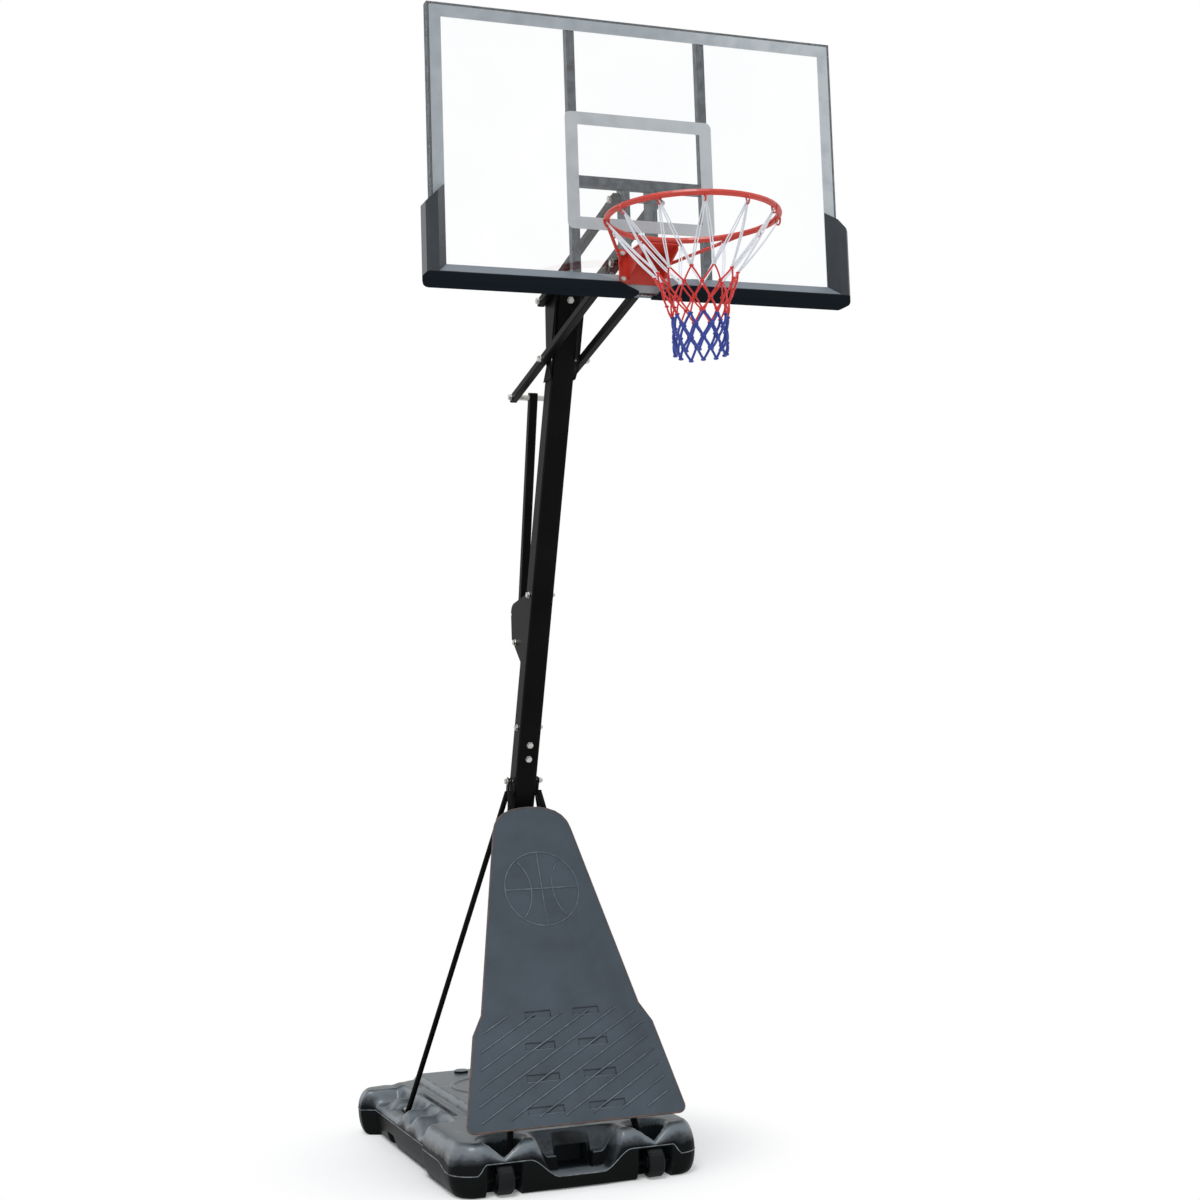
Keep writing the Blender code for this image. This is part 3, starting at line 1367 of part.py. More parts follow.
def build_arm(name, side, rear, front, pivots):
    """Square tube arm between two (y, z) points, open at its ends and drilled at its pivots."""
    tag, sign = mirrored(side)
    x = sign * ARM_CENTRE_X
    direction = Vector((0, front[0] - rear[0], front[1] - rear[1])).normalized()
    start = Vector((x, *rear)) - direction * ARM_END
    end = Vector((x, *front)) + direction * ARM_END
    place, length = between(start, end)
    outer = rounded_rectangle(ARM_SIZE, ARM_SIZE, ARM_CORNER, 1)
    bore = ARM_SIZE - 2 * ARM_WALL
    inner = rounded_rectangle(bore, bore, ARM_BORE_CORNER, 1)
    arm = outline_solid(f"{name}_{tag}", [outer, inner], length, place, black_steel())
    for pivot in pivots:
        drill_across(arm, pivot, x=x, length=ARM_SIZE + OVERRUN / 2)


def build_arms():
    for side in (-1, 1):
        build_arm(
            "lower_arm",
            side,
            TAIL_PIVOT,
            FRONT_LOWER_PIVOT,
            (TAIL_PIVOT, LOWER_PIVOT, FRONT_LOWER_PIVOT),
        )
        build_arm(
            "upper_arm", side, UPPER_PIVOT, FRONT_UPPER_PIVOT, (UPPER_PIVOT, FRONT_UPPER_PIVOT)
        )
        build_head_cheek(side)
        build_spacer(side)
    for name, pivot in (
        ("rear_lower_pivot_bolt", LOWER_PIVOT),
        ("rear_upper_pivot_bolt", UPPER_PIVOT),
        ("front_lower_pivot_bolt", FRONT_LOWER_PIVOT),
        ("front_upper_pivot_bolt", FRONT_UPPER_PIVOT),
        ("tail_bolt", TAIL_PIVOT),
    ):
        bolt_across(name, pivot, ARM_OUTER_X)


def build_spacer(side):
    """Sleeve on the tail bolt between an arm and the lift tube."""
    tag, sign = mirrored(side)
    inner_x = LIFT_TUBE_SIZE / 2 + GAP
    outer_x = ARM_INNER_X - GAP
    place = across(*TAIL_PIVOT, sign * (inner_x + outer_x) / 2)
    spacer = cylinder(f"tail_spacer_{tag}", SPACER_RADIUS, outer_x - inner_x, place, zinc(), sides=12)
    drill(spacer, place, BOLT_RADIUS + HOLE_PLAY, DRILL_TUBE)


def lift_axis():
    tail = Vector((0, *TAIL_PIVOT))
    return (Vector((0, *ANCHOR)) - tail).normalized()


def build_lift_strut():
    """Square lift tube hung from the tail bolt, with the round rod that slides in its bush."""
    axis = lift_axis()
    tail = Vector((0, *TAIL_PIVOT))
    top = tail - axis * ARM_END
    end = tail + axis * LIFT_TUBE_LENGTH
    place, length = between(top, end)
    outline = rounded_rectangle(LIFT_TUBE_SIZE, LIFT_TUBE_SIZE, LIFT_TUBE_CORNER, 1)
    tube = outline_solid("lift_tube", [outline], length, place, black_steel())
    bore = LIFT_TUBE_SIZE - 2 * LIFT_TUBE_WALL
    bore_place, bore_length = between(top - axis * OVERRUN / 2, end - axis * LIFT_BUSH_LENGTH)
    cut(tube, box("lift_tube_bore", (bore, bore, bore_length), bore_place, cutter=True))
    drill(tube, frame_at(end, axis), LIFT_ROD_RADIUS + GAP, 2 * LIFT_BUSH_LENGTH + OVERRUN, sides=16)
    drill_across(tube, TAIL_PIVOT, length=DRILL_TUBE)
    anchor = Vector((0, *ANCHOR))
    rod_place, rod_length = between(anchor - axis * LIFT_ROD_LENGTH, anchor - axis * ROD_END_INSET)
    rod = cylinder("lift_rod", LIFT_ROD_RADIUS, rod_length, rod_place, zinc(), sides=16)
    eye_size = (ROD_EYE_WIDTH, ROD_EYE_DEPTH, ROD_EYE_LENGTH)
    eye = box("lift_rod_eye", eye_size, frame_at(anchor, axis), cutter=True, bevel=ROD_EYE_ROUND)
    join(rod, eye)
    drill_across(rod, ANCHOR, length=DRILL_TUBE)


def bracket_outline():
    """Side view of the bracket in (y, z): flat on the pole's rear face, bowed out to the rear."""
    rest = GAP / math.cos(POLE_LEAN)
    low = (pole_rear_y(BRACKET_FOOT_Z) + rest, BRACKET_FOOT_Z)
    high = (pole_rear_y(BRACKET_HEAD_Z) + rest, BRACKET_HEAD_Z)
    rear_top = ANCHOR_Z + BRACKET_REAR_TOP
    crown = bezier(
        BRACKET_SHOULDER,
        (BRACKET_REAR_Y - BRACKET_CROWN_REACH, BRACKET_SHOULDER[1] - BRACKET_CROWN_DROP),
        (BRACKET_REAR_Y, rear_top + BRACKET_CROWN_RISE),
        (BRACKET_REAR_Y, rear_top),
        4,
    )
    foot = (BRACKET_REAR_Y, ANCHOR_Z + BRACKET_REAR_LOW)
    return [low, foot, *reversed(crown), high]


def build_bracket():
    """Folded bracket: a web on the pole and two cheeks that the lift strut hangs between."""
    width = BRACKET_INNER + 2 * BRACKET_PLATE
    place = frame_at((0, 0, 0), (1, 0, 0), (0, 1, 0))
    bracket = outline_solid("lift_bracket", [bracket_outline()], width, place, black_steel())
    web_front = pole_frame(BRACKET_FOOT_Z) @ Matrix.Translation((0, POLE_HALF + GAP + BRACKET_PLATE, 0))
    reach = 0.30
    run = 0.80
    hollow_place = web_front @ Matrix.Translation((0, reach / 2, 0))
    cut(bracket, box("bracket_hollow", (BRACKET_INNER, reach, run), hollow_place, cutter=True))
    drill_across(bracket, ANCHOR)
    drill_across(bracket, LEVER_PIVOT, LEVER_PIN_RADIUS)
    for side in (-1, 1):
        tag, sign = mirrored(side)
        outer = sign * width / 2
        tip = width / 2 - ROD_EYE_WIDTH / 2 - ANCHOR_TIP_PLAY
        inward = frame_at((outer, *ANCHOR), (-sign, 0, 0), (0, 1, 0))
        bolt(f"anchor_screw_{tag}", inward, tip, nut=False)


def build_lever():
    """Trigger between the bracket's cheeks: a finger plate hung from a boss on its pin."""
    boss = across(*LEVER_PIVOT)
    lever = cylinder("lift_lever", LEVER_BOSS, LEVER_WIDTH, boss, pad_plastic(), sides=16)
    plate = span_box(
        "lever_plate",
        (-LEVER_WIDTH / 2, LEVER_REAR_Y - LEVER_PLATE, ANCHOR_Z + LEVER_LOW),
        (LEVER_WIDTH / 2, LEVER_REAR_Y, LEVER_PIVOT[1] + LEVER_HEAD),
        cutter=True,
        bevel=LEVER_ROUND,
    )
    bridge = span_box(
        "lever_bridge",
        (-LEVER_WIDTH / 2 + LEVER_BRIDGE_INSET, LEVER_PIVOT[0], LEVER_PIVOT[1] - LEVER_BRIDGE_HALF),
        (
            LEVER_WIDTH / 2 - LEVER_BRIDGE_INSET,
            LEVER_REAR_Y - LEVER_PLATE / 2,
            LEVER_PIVOT[1] + LEVER_BRIDGE_HALF,
        ),
        cutter=True,
    )
    join(lever, plate, bridge)
    drill(lever, boss, LEVER_PIN_RADIUS + HOLE_PLAY, DRILL_TUBE)
    width = BRACKET_INNER + 2 * BRACKET_PLATE
    cylinder("lever_pin", LEVER_PIN_RADIUS, width + LEVER_PIN_ENDS, boss, zinc(), sides=12)


def board_rail(name, low, high, open_to):
    """Channel rail between two corners; open_to names the side its hollow faces."""
    rail = span_box(name, low, high, frame_steel())
    low, high = Vector(low), Vector(high)
    hollow_low = Vector(low)
    hollow_high = Vector(high)
    for i in range(3):
        hollow_low[i] += RAIL_WALL
        hollow_high[i] -= RAIL_WALL
    axis, sign = open_to
    if sign > 0:
        hollow_high[axis] += 2 * RAIL_WALL
    else:
        hollow_low[axis] -= 2 * RAIL_WALL
    cut(rail, span_box(f"{name}_hollow", hollow_low, hollow_high, cutter=True))
    return rail


def build_board():
    half = SHEET_WIDTH / 2
    span_box(
        "backboard_sheet",
        (-half, BOARD_FACE_Y, SHEET_BOTTOM_Z),
        (half, SHEET_BACK_Y, SHEET_TOP_Z),
        clear_sheet(),
    )
    sheet = bpy.data.objects["backboard_sheet"]
    front, back = RAIL_FRONT_Y, RAIL_BACK_Y
    bottom, top = SHEET_BOTTOM_Z, SHEET_TOP_Z
    rear = (1, 1)
    board_rail("top_rail", (-half, front, top - RAIL_SIZE), (half, back, top), rear)
    board_rail("bottom_rail", (-half, front, bottom), (half, back, bottom + RAIL_SIZE), rear)
    low, high = bottom + RAIL_SIZE + GAP, top - RAIL_SIZE - GAP
    for side in (-1, 1):
        tag, sign = mirrored(side)
        x = sorted((sign * half, sign * (half - RAIL_SIZE)))
        board_rail(f"side_rail_{tag}", (x[0], front, low), (x[1], back, high), rear)
        centre = sign * UPRIGHT_X
        board_rail(
            f"upright_{tag}",
            (centre - RAIL_SIZE / 2, front, low),
            (centre + RAIL_SIZE / 2, back, high),
            rear,
        )
    build_pivot_frame(front, back)
    for x, z in rim_bolt_places():
        place = frame_at((x, BOARD_FACE_Y, z), (0, 1, 0))
        drill(sheet, place, BOLT_RADIUS * SMALL_BOLT + HOLE_PLAY, DRILL_PLATE)
    for side in (-1, 1):
        build_pad(side)


def build_pivot_frame(front, back):
    """Crossbar between the uprights, welded to two ears that carry the front pivots."""
    reach = UPRIGHT_X - RAIL_SIZE / 2 - GAP
    half = CROSSBAR_HEIGHT / 2
    frame = span_box(
        "pivot_frame",
        (-reach, front, UPPER_CROSSBAR_Z - half),
        (reach, back, UPPER_CROSSBAR_Z + half),
        frame_steel(),
    )
    for side in (-1, 1):
        tag, sign = mirrored(side)
        x = sorted((sign * EAR_INNER_X, sign * EAR_OUTER_X))
        ear = span_box(
            f"ear_{tag}",
            (x[0], front + RAIL_WALL, SHEET_BOTTOM_Z + RAIL_SIZE + GAP),
            (x[1], FRONT_LOWER_PIVOT[0] + EAR_OVERHANG, UPPER_CROSSBAR_Z + half - WELD),
            cutter=True,
        )
        join(frame, ear)
        x = sorted((sign * (EAR_OUTER_X + EAR_WEB), sign * (reach - RAIL_WALL)))
        hollow = span_box(
            f"crossbar_hollow_{tag}",
            (x[0], front + RAIL_WALL, UPPER_CROSSBAR_Z - half + RAIL_WALL),
            (x[1], back + OVERRUN / 2, UPPER_CROSSBAR_Z + half - RAIL_WALL),
            cutter=True,
        )
        cut(frame, hollow)
    for pivot in (FRONT_LOWER_PIVOT, FRONT_UPPER_PIVOT):
        drill_across(frame, pivot)


def pad_ring(along):
    """One station of a pad: along(t) gives (x, z) at a distance t in from its outer edge.

    A t of None stands for the inner corner, where the pad's lip meets the sheet's edge.
    """
    ridge_y = BOARD_FACE_Y - PAD_FRONT
    face_y = BOARD_FACE_Y - GAP
    profile = (
        (0.0, PAD_REAR_Y),
        (0.0, ridge_y + PAD_ROUND),
        (PAD_ROUND, ridge_y),
        (PAD_RIDGE, ridge_y),
        (PAD_INNER, face_y),
        (None, face_y),
        (None, PAD_REAR_Y),
    )
    ring = []
    for t, y in profile:
        x, z = along(t)
        ring.append((x, y, z))
    return ring


def build_pad(side):
    """Moulding along half of the lower edge, round the corner and up the side."""
    tag, sign = mirrored(side)
    outer_x = SHEET_WIDTH / 2 + PAD_SIDE_EDGE
    outer_z = SHEET_BOTTOM_Z - PAD_BOTTOM_EDGE
    pocket_x = SHEET_WIDTH / 2 + GAP
    pocket_z = SHEET_BOTTOM_Z - GAP

    def inner_end(t):
        reach = PAD_BOTTOM_EDGE - GAP if t is None else t
        slant = PAD_END_SLANT * max(reach - PAD_ROUND, 0.0) / (PAD_INNER - PAD_ROUND)
        return sign * (PAD_END_X + slant), pocket_z if t is None else outer_z + t

    def leg_top(t):
        reach = PAD_SIDE_EDGE - GAP if t is None else t
        z = PAD_LEG_TOP_Z + PAD_LEG_SLANT * reach / PAD_INNER
        return sign * (pocket_x if t is None else outer_x - t), z

    def corner(turn):
        def along(t):
            if t is None:
                return sign * pocket_x, pocket_z
            if t >= PAD_CORNER:
                return sign * (outer_x - t), outer_z + t
            reach = PAD_CORNER - t
            x = outer_x - PAD_CORNER + reach * math.sin(turn)
            return sign * x, outer_z + PAD_CORNER - reach * math.cos(turn)

        return along

    stations = [inner_end]
    stations += [corner(math.radians(angle)) for angle in (0, 30, 60, 90)]
    stations.append(leg_top)
    loft(f"pad_{tag}", [pad_ring(along) for along in stations], surface=pad_plastic())


def rim_bolt_places():
    return [(x, RING_CENTRE_Z - drop) for drop in RIM_BOLT_DROPS for x in (-RIM_BOLT_X, RIM_BOLT_X)]


def shelf_top_z():
    return RING_CENTRE_Z - RING_BAR_RADIUS - GAP


def build_rim_bracket():
    """Folded bracket: a plate on the board, a shelf under the ring and two tapering gussets."""
    shelf_top = shelf_top_z()
    face = PLATE_FRONT_Y
    bracket = span_box(
        "rim_bracket",
        (-PLATE_HALF_WIDTH, face, PLATE_BOTTOM_Z),
        (PLATE_HALF_WIDTH, BOARD_FACE_Y - GAP, PLATE_TOP_Z),
        rim_red(),
    )
    seat_share = 0.9
    reach_y = RING_CENTRE_Y + RING_RADIUS - RING_BAR_RADIUS * seat_share
    outline = [
        (-SHELF_REAR_HALF, face + WELD),
        (-SHELF_FRONT_HALF, reach_y),
        (SHELF_FRONT_HALF, reach_y),
        (SHELF_REAR_HALF, face + WELD),
    ]
    place = Matrix.Translation((0, 0, shelf_top - PLATE_THICKNESS / 2))
    shelf = outline_solid("rim_shelf", [outline], PLATE_THICKNESS, place, cutter=True)
    join(bracket, shelf)
    for side in (-1, 1):
        tag, sign = mirrored(side)
        low = PLATE_BOTTOM_Z + GUSSET_FOOT_RISE
        triangle = [
            (face + WELD, low),
            (face + WELD, shelf_top - WELD),
            (reach_y + GUSSET_NOSE, shelf_top - WELD),
            (reach_y + GUSSET_NOSE, shelf_top - GUSSET_FRONT_DROP),
        ]
        centre = frame_at((sign * (GUSSET_X - PLATE_THICKNESS), 0, 0), (1, 0, 0), (0, 1, 0))
        gusset = outline_solid(f"gusset_{tag}", [triangle], PLATE_THICKNESS, centre, cutter=True)
        join(bracket, gusset)
    for index, (x, z) in enumerate(rim_bolt_places()):
        place = frame_at((x, face, z), (0, 1, 0))
        drill(bracket, place, BOLT_RADIUS * SMALL_BOLT + HOLE_PLAY, DRILL_PLATE)
        grip = SHEET_BACK_Y - face
        bolt(f"rim_bolt_{index + 1}", place, grip, SMALL_BOLT)


def around_ring(angle, radius, height=0.0):
    """Point round the ring; angle 0 points to the player's right."""
    x = radius * math.cos(angle)
    return Vector((x, RING_CENTRE_Y + radius * math.sin(angle), RING_CENTRE_Z + height))


def hook_angles():
    step = 2 * math.pi / HOOK_COUNT
    return [step * (index + 0.5) for index in range(HOOK_COUNT)]


def build_ring():
    """Ring bar with its net hooks and two side braces."""
    bpy.ops.mesh.primitive_torus_add(
        major_segments=48,
        minor_segments=8,
        major_radius=RING_RADIUS,
        minor_radius=RING_BAR_RADIUS,
        location=(0, RING_CENTRE_Y, RING_CENTRE_Z),
        rotation=(0, 0, RING_SEAM),
    )
    ring = bpy.context.active_object
    for collection in list(ring.users_collection):
        collection.objects.unlink(ring)
    ring.name = "rim_ring"
    finish(ring, rim_red())
    smooth(ring)
    for index, angle in enumerate(hook_angles()):
        inner = around_ring(angle, RING_RADIUS - RING_BAR_RADIUS / 2)
        outer = around_ring(angle, RING_RADIUS + RING_BAR_RADIUS / 2)
        points = [inner]
        for across_hook, down in arc((0, 0), 1.0, 180, 360, 5):
            outward = RING_RADIUS + HOOK_HALF_WIDTH * across_hook
            points.append(around_ring(angle, outward, -HOOK_ROOT_DROP + HOOK_DROP * down))
        points.append(outer)
        join(ring, wire(f"hook_{index}", points, HOOK_WIRE, cutter=True, resolution=0))
    for side in (-1, 1):
        tag, sign = mirrored(side)
        angle = RIM_BRACE_ANGLE if side > 0 else math.pi - RIM_BRACE_ANGLE
        start = around_ring(angle, RING_RADIUS)
        flat_z = RING_CENTRE_Z - RIM_BRACE_END_DROP
        flat = Vector((sign * RIM_BRACE_END_X, PLATE_FRONT_Y, flat_z))
        lean = (flat - start).normalized()
        back_off = RIM_BRACE_RADIUS * math.sqrt(1 - lean.y**2) + GAP
        end = flat - lean * back_off / lean.y
        join(ring, wire(f"rim_brace_{tag}", [start, end], RIM_BRACE_RADIUS, cutter=True))


def net_radius(z, top_z):
    """Radius of the hanging net at a height, along three straight stretches."""
    stretches = (
        (NET_BOTTOM_Z, NET_BOTTOM_RADIUS),
        (NET_WAIST_Z, NET_WAIST_RADIUS),
        (NET_SHOULDER_Z, NET_SHOULDER_RADIUS),
        (top_z, RING_RADIUS),
    )
    for (low, narrow), (high, wide) in zip(stretches, stretches[1:]):
        if z <= high:
            return narrow + (wide - narrow) * (z - low) / (high - low)
    return RING_RADIUS


def build_net():
    """Diamond mesh hung on the hooks: a lattice of faces whose edges become cords."""
    hook_wire_z = RING_CENTRE_Z - HOOK_ROOT_DROP - HOOK_DROP
    top_z = hook_wire_z + (HOOK_WIRE + NET_CORD / 2 + 2 * GAP) / NET_PEAK_SLOPE
    taper = 0.88
    shape = bmesh.new()
    rows = []
    for row in range(NET_ROWS + 1):
        share = row / NET_ROWS
        z = top_z + (NET_BOTTOM_Z - top_z) * share**taper
        turn = math.pi / HOOK_COUNT if row % 2 else 0.0
        radius = net_radius(z, top_z)
        ring = []
        for angle in hook_angles():
            place = around_ring(angle + turn, radius)
            ring.append(shape.verts.new((place.x, place.y, z)))
        rows.append(ring)
    for row in range(NET_ROWS - 1):
        upper, middle, lower = rows[row : row + 3]
        shift = -1 if row % 2 == 0 else 1
        for index in range(HOOK_COUNT):
            beside = middle[(index + shift) % HOOK_COUNT]
            shape.faces.new((upper[index], middle[index], lower[index], beside))
    bmesh.ops.recalc_face_normals(shape, faces=shape.faces)
    net = from_bmesh("net", shape, surface=net_cord())
    cords = net.modifiers.new("cords", "WIREFRAME")
    cords.thickness = NET_CORD
    cords.use_replace = True
    cords.use_boundary = True
    cords.use_even_offset = False


def attach(child, carrier):
    child.parent = carrier
    child.matrix_parent_inverse = Matrix.Translation(carrier.location).inverted()


def hang(name, pivot, nodes, carrier=None):
    """Empty on a joint's axis that carries a moving body's nodes, without moving them."""
    hinge = bpy.data.objects.new(name, None)
    hinge.empty_display_size = 0.05
    hinge.location = (0, *pivot)
    PARTS.objects.link(hinge)
    if carrier:
        attach(hinge, carrier)
    for node in nodes:
        attach(bpy.data.objects[node], hinge)
    return hinge


def board_nodes():
    names = ["backboard_sheet", "top_rail", "bottom_rail", "pivot_frame", "rim_bracket", "rim_ring", "net"]
    for part in ("side_rail", "upright", "pad"):
        names += [f"{part}_left", f"{part}_right"]
    names += [f"rim_bolt_{index + 1}" for index in range(len(rim_bolt_places()))]
    return names + ["front_lower_pivot_bolt", "front_upper_pivot_bolt"]


def hang_moving_bodies():
    """Puts the lift's moving bodies on empties at their pivots."""
    tails = ("tail_bolt", "tail_spacer_left", "tail_spacer_right")
    lower = hang("lower_arms_pivot", LOWER_PIVOT, ("lower_arm_left", "lower_arm_right", *tails))
    hang("upper_arms_pivot", UPPER_PIVOT, ("upper_arm_left", "upper_arm_right"))
    hang("board_pivot", FRONT_LOWER_PIVOT, board_nodes(), lower)
    hang("lift_strut_pivot", TAIL_PIVOT, ("lift_tube", "lift_rod"), lower)


def main():
    build_base()
    build_filler_cap()
    for side in (-1, 1):
        build_wheel(side)
        build_axle(side)
    build_pole()
    build_struts()
    build_panel()
    build_arms()
    build_lift_strut()
    build_bracket()
    build_lever()
    build_board()
    build_rim_bracket()
    build_ring()
    build_net()
    hang_moving_bodies()


main()
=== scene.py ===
# %% [markdown]
# # A portable basketball stand
#
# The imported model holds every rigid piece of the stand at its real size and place. This lesson
# dresses it: a finish for each real material, the print on the clear board, a knotted net, and a
# plain studio with the camera where the photographer stood. Units are metres, +Z is up, -Y points
# to the player.

# %% Load the frame
import math
import random

import bmesh
import bpy
from mathutils import Matrix, Vector


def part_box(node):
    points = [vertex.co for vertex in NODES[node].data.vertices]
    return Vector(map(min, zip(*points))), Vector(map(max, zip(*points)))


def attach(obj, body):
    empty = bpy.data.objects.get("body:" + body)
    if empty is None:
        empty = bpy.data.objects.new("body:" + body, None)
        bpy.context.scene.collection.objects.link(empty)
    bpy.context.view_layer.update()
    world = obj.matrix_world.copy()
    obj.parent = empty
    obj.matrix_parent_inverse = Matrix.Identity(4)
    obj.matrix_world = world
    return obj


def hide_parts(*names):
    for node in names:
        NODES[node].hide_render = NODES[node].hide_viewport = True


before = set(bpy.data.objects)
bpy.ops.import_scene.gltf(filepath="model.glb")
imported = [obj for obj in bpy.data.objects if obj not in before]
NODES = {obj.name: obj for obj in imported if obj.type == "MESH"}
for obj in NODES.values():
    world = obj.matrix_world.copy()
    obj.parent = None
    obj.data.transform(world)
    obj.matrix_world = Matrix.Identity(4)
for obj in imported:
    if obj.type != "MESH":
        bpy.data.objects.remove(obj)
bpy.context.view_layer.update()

# %% [markdown]
# Blender works with linear light, but a maker reads a colour off a chip or a screen as sRGB hex.
# One function does the change. The others each add one node with its settings and links, so that
# every finish below reads like a recipe. The size of a noise is that of its clouds, in metres.

# %% Colour and node helpers
def linear(code):
    """sRGB hex such as "c8463c" as a linear RGBA colour."""
    values = [int(code[i : i + 2], 16) / 255 for i in (0, 2, 4)]
    values = [v / 12.92 if v <= 0.04045 else ((v + 0.055) / 1.055) ** 2.4 for v in values]
    return (*values, 1.0)


def add_node(tree, kind, inputs=None, stops=(), **settings):
    """Adds a node, sets its properties and colour stops, and links or sets its inputs."""
    made = tree.nodes.new(kind)
    for name, value in settings.items():
        setattr(made, name, value)
    if stops:
        band = made.color_ramp.elements
        band.remove(band[1])
        band[0].position, band[0].color = stops[0][0], linear(stops[0][1])
        for place, code in stops[1:]:
            band.new(place).color = linear(code)
    for socket, value in (inputs or {}).items():
        if isinstance(value, bpy.types.NodeSocket):
            tree.links.new(value, made.inputs[socket])
        else:
            made.inputs[socket].default_value = value
    return made


def position(tree):
    return add_node(tree, "ShaderNodeTexCoord").outputs["Object"]


def axis_of(tree, vector, axis):
    return add_node(tree, "ShaderNodeSeparateXYZ", {"Vector": vector}).outputs[axis]


def noise(tree, size, detail, rough=0.5):
    inputs = {"Vector": position(tree), "Scale": 1 / size, "Detail": detail, "Roughness": rough}
    return add_node(tree, "ShaderNodeTexNoise", inputs).outputs["Fac"]


def mapped(tree, value, low, high, to_low=0.0, to_high=1.0, kind="LINEAR"):
    """Takes a value from one range to another and holds it at both ends."""
    ranges = {"From Min": low, "From Max": high, "To Min": to_low, "To Max": to_high}
    made = add_node(tree, "ShaderNodeMapRange", {"Value": value, **ranges}, interpolation_type=kind)
    return made.outputs["Result"]


def maths(tree, operation, first, second):
    made = add_node(tree, "ShaderNodeMath", {0: first, 1: second}, operation=operation)
    return made.outputs["Value"]


def ramp(tree, share, *stops):
    return add_node(tree, "ShaderNodeValToRGB", {"Fac": share}, stops).outputs["Color"]


def mix(tree, share, first, second):
    inputs = {"Factor": share, "A": first, "B": second}
    return add_node(tree, "ShaderNodeMix", inputs, data_type="RGBA").outputs["Result"]


def bump(tree, shader, height, strength, distance):
    inputs = {"Height": height, "Strength": strength, "Distance": distance}
    drive(tree, shader, Normal=add_node(tree, "ShaderNodeBump", inputs).outputs["Normal"])


# %% Finishes
def start_finish(name, **sockets):
    """A Principled material whose plain values are set on the shader's own sockets."""
    made = bpy.data.materials.new(name)
    made.use_nodes = True
    shader = made.node_tree.nodes["Principled BSDF"]
    for socket, value in sockets.items():
        shader.inputs[socket.replace("_", " ")].default_value = value
    return made, made.node_tree, shader


def drive(tree, shader, **sockets):
    """Links the outputs of nodes to the shader's sockets."""
    for socket, output in sockets.items():
        tree.links.new(output, shader.inputs[socket.replace("_", " ")])


def clouded(name, size, detail, *stops, **sockets):
    """A finish whose colour drifts between tones in clouds of one size."""
    made, tree, shader = start_finish(name, **sockets)
    drive(tree, shader, Base_Color=ramp(tree, noise(tree, size, detail), *stops))
    return made


def dress(material, *names):
    """Gives CAD pieces a finish through their own material slots."""
    for name in names:
        slots = NODES[name].data.materials
        slots.clear()
        slots.append(material)
    print(material.name, "on", len(names), "pieces")


def link_object(name, data):
    made = bpy.data.objects.new(name, data)
    bpy.context.scene.collection.objects.link(made)
    return made


# %% [markdown]
# Cords, beads and raised lines are all a circle swept along a path. A curve with a bevel would do
# it too, but a mesh of our own also carries the length along the cord, which a braid needs.

# %% Tubes swept along points
class Tubes:
    """Collects swept tubes, with the length along each cord and the way round it as UV."""

    def __init__(self):
        self.points, self.faces, self.uvs = [], [], []

    def sweep(self, path, radius, sides=8, closed=False):
        start = len(self.points)
        count = len(path)
        along = 0.0
        lengths = []
        side = None
        for i, point in enumerate(path):
            ahead = path[(i + 1) % count] if closed or i + 1 < count else point
            behind = path[i - 1] if closed or i else point
            tangent = (ahead - behind).normalized()
            if side is None:
                side = tangent.orthogonal().normalized()
            side = (side - tangent * side.dot(tangent)).normalized()
            other = tangent.cross(side)
            if i:
                along += (point - path[i - 1]).length
            lengths.append(along)
            for k in range(sides):
                turn = 2 * math.pi * k / sides
                around = side * math.cos(turn) + other * math.sin(turn)
                self.points.append(point + radius * around)
        last = count if closed else count - 1
        for i in range(last):
            low, high = lengths[i], lengths[i + 1] if i + 1 < count else lengths[i] + 0.002
            for k in range(sides):
                a, b = start + i * sides + k, start + i * sides + (k + 1) % sides
                c = start + ((i + 1) % count) * sides + (k + 1) % sides
                d = start + ((i + 1) % count) * sides + k
                self.faces.append((a, b, c, d))
                round_a = 2 * math.pi * radius * k / sides
                round_b = 2 * math.pi * radius * (k + 1) / sides
                self.uvs += [(round_a, low), (round_b, low), (round_b, high), (round_a, high)]
        if not closed:
            self.faces.append(tuple(start + k for k in reversed(range(sides))))
            self.uvs += [(0, 0)] * sides
            self.faces.append(tuple(start + (count - 1) * sides + k for k in range(sides)))
            self.uvs += [(0, 0)] * sides

    def build(self, name, material, body):
        mesh = bpy.data.meshes.new(name)
        mesh.from_pydata(self.points, [], self.faces)
        layer = mesh.uv_layers.new(name="cord")
        for loop, uv in zip(layer.data, self.uvs):
            loop.uv = uv
        mesh.materials.append(material)
        mesh.shade_smooth()
        made = link_object(name, mesh)
        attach(made, body)
        print(name, len(mesh.vertices), "points")
        return made


# %% [markdown]
# Polyester powder coat on steel tube: satin black, a slight orange peel from the way the powder
# melts, and a little dust that greys it in patches. Outdoors such a coat mirrors dark ground and
# trees and looks deep black, so here, where all round is white, its mirror is set weak. The real
# peel is about 2 mm across, too fine for a stand 3.5 m tall, so it is drawn at 9 mm.

# %% Black powder coat
def black_powder_coat():
    made, tree, shader = start_finish(
        "black_powder_coated_steel", Roughness=0.42, Specular_IOR_Level=0.04
    )
    dust = noise(tree, size=0.18, detail=5.0)
    drive(tree, shader, Base_Color=ramp(tree, dust, (0.3, "090909"), (0.8, "131312")))
    bump(tree, shader, noise(tree, size=0.009, detail=1.0), strength=0.12, distance=0.0006)
    return made


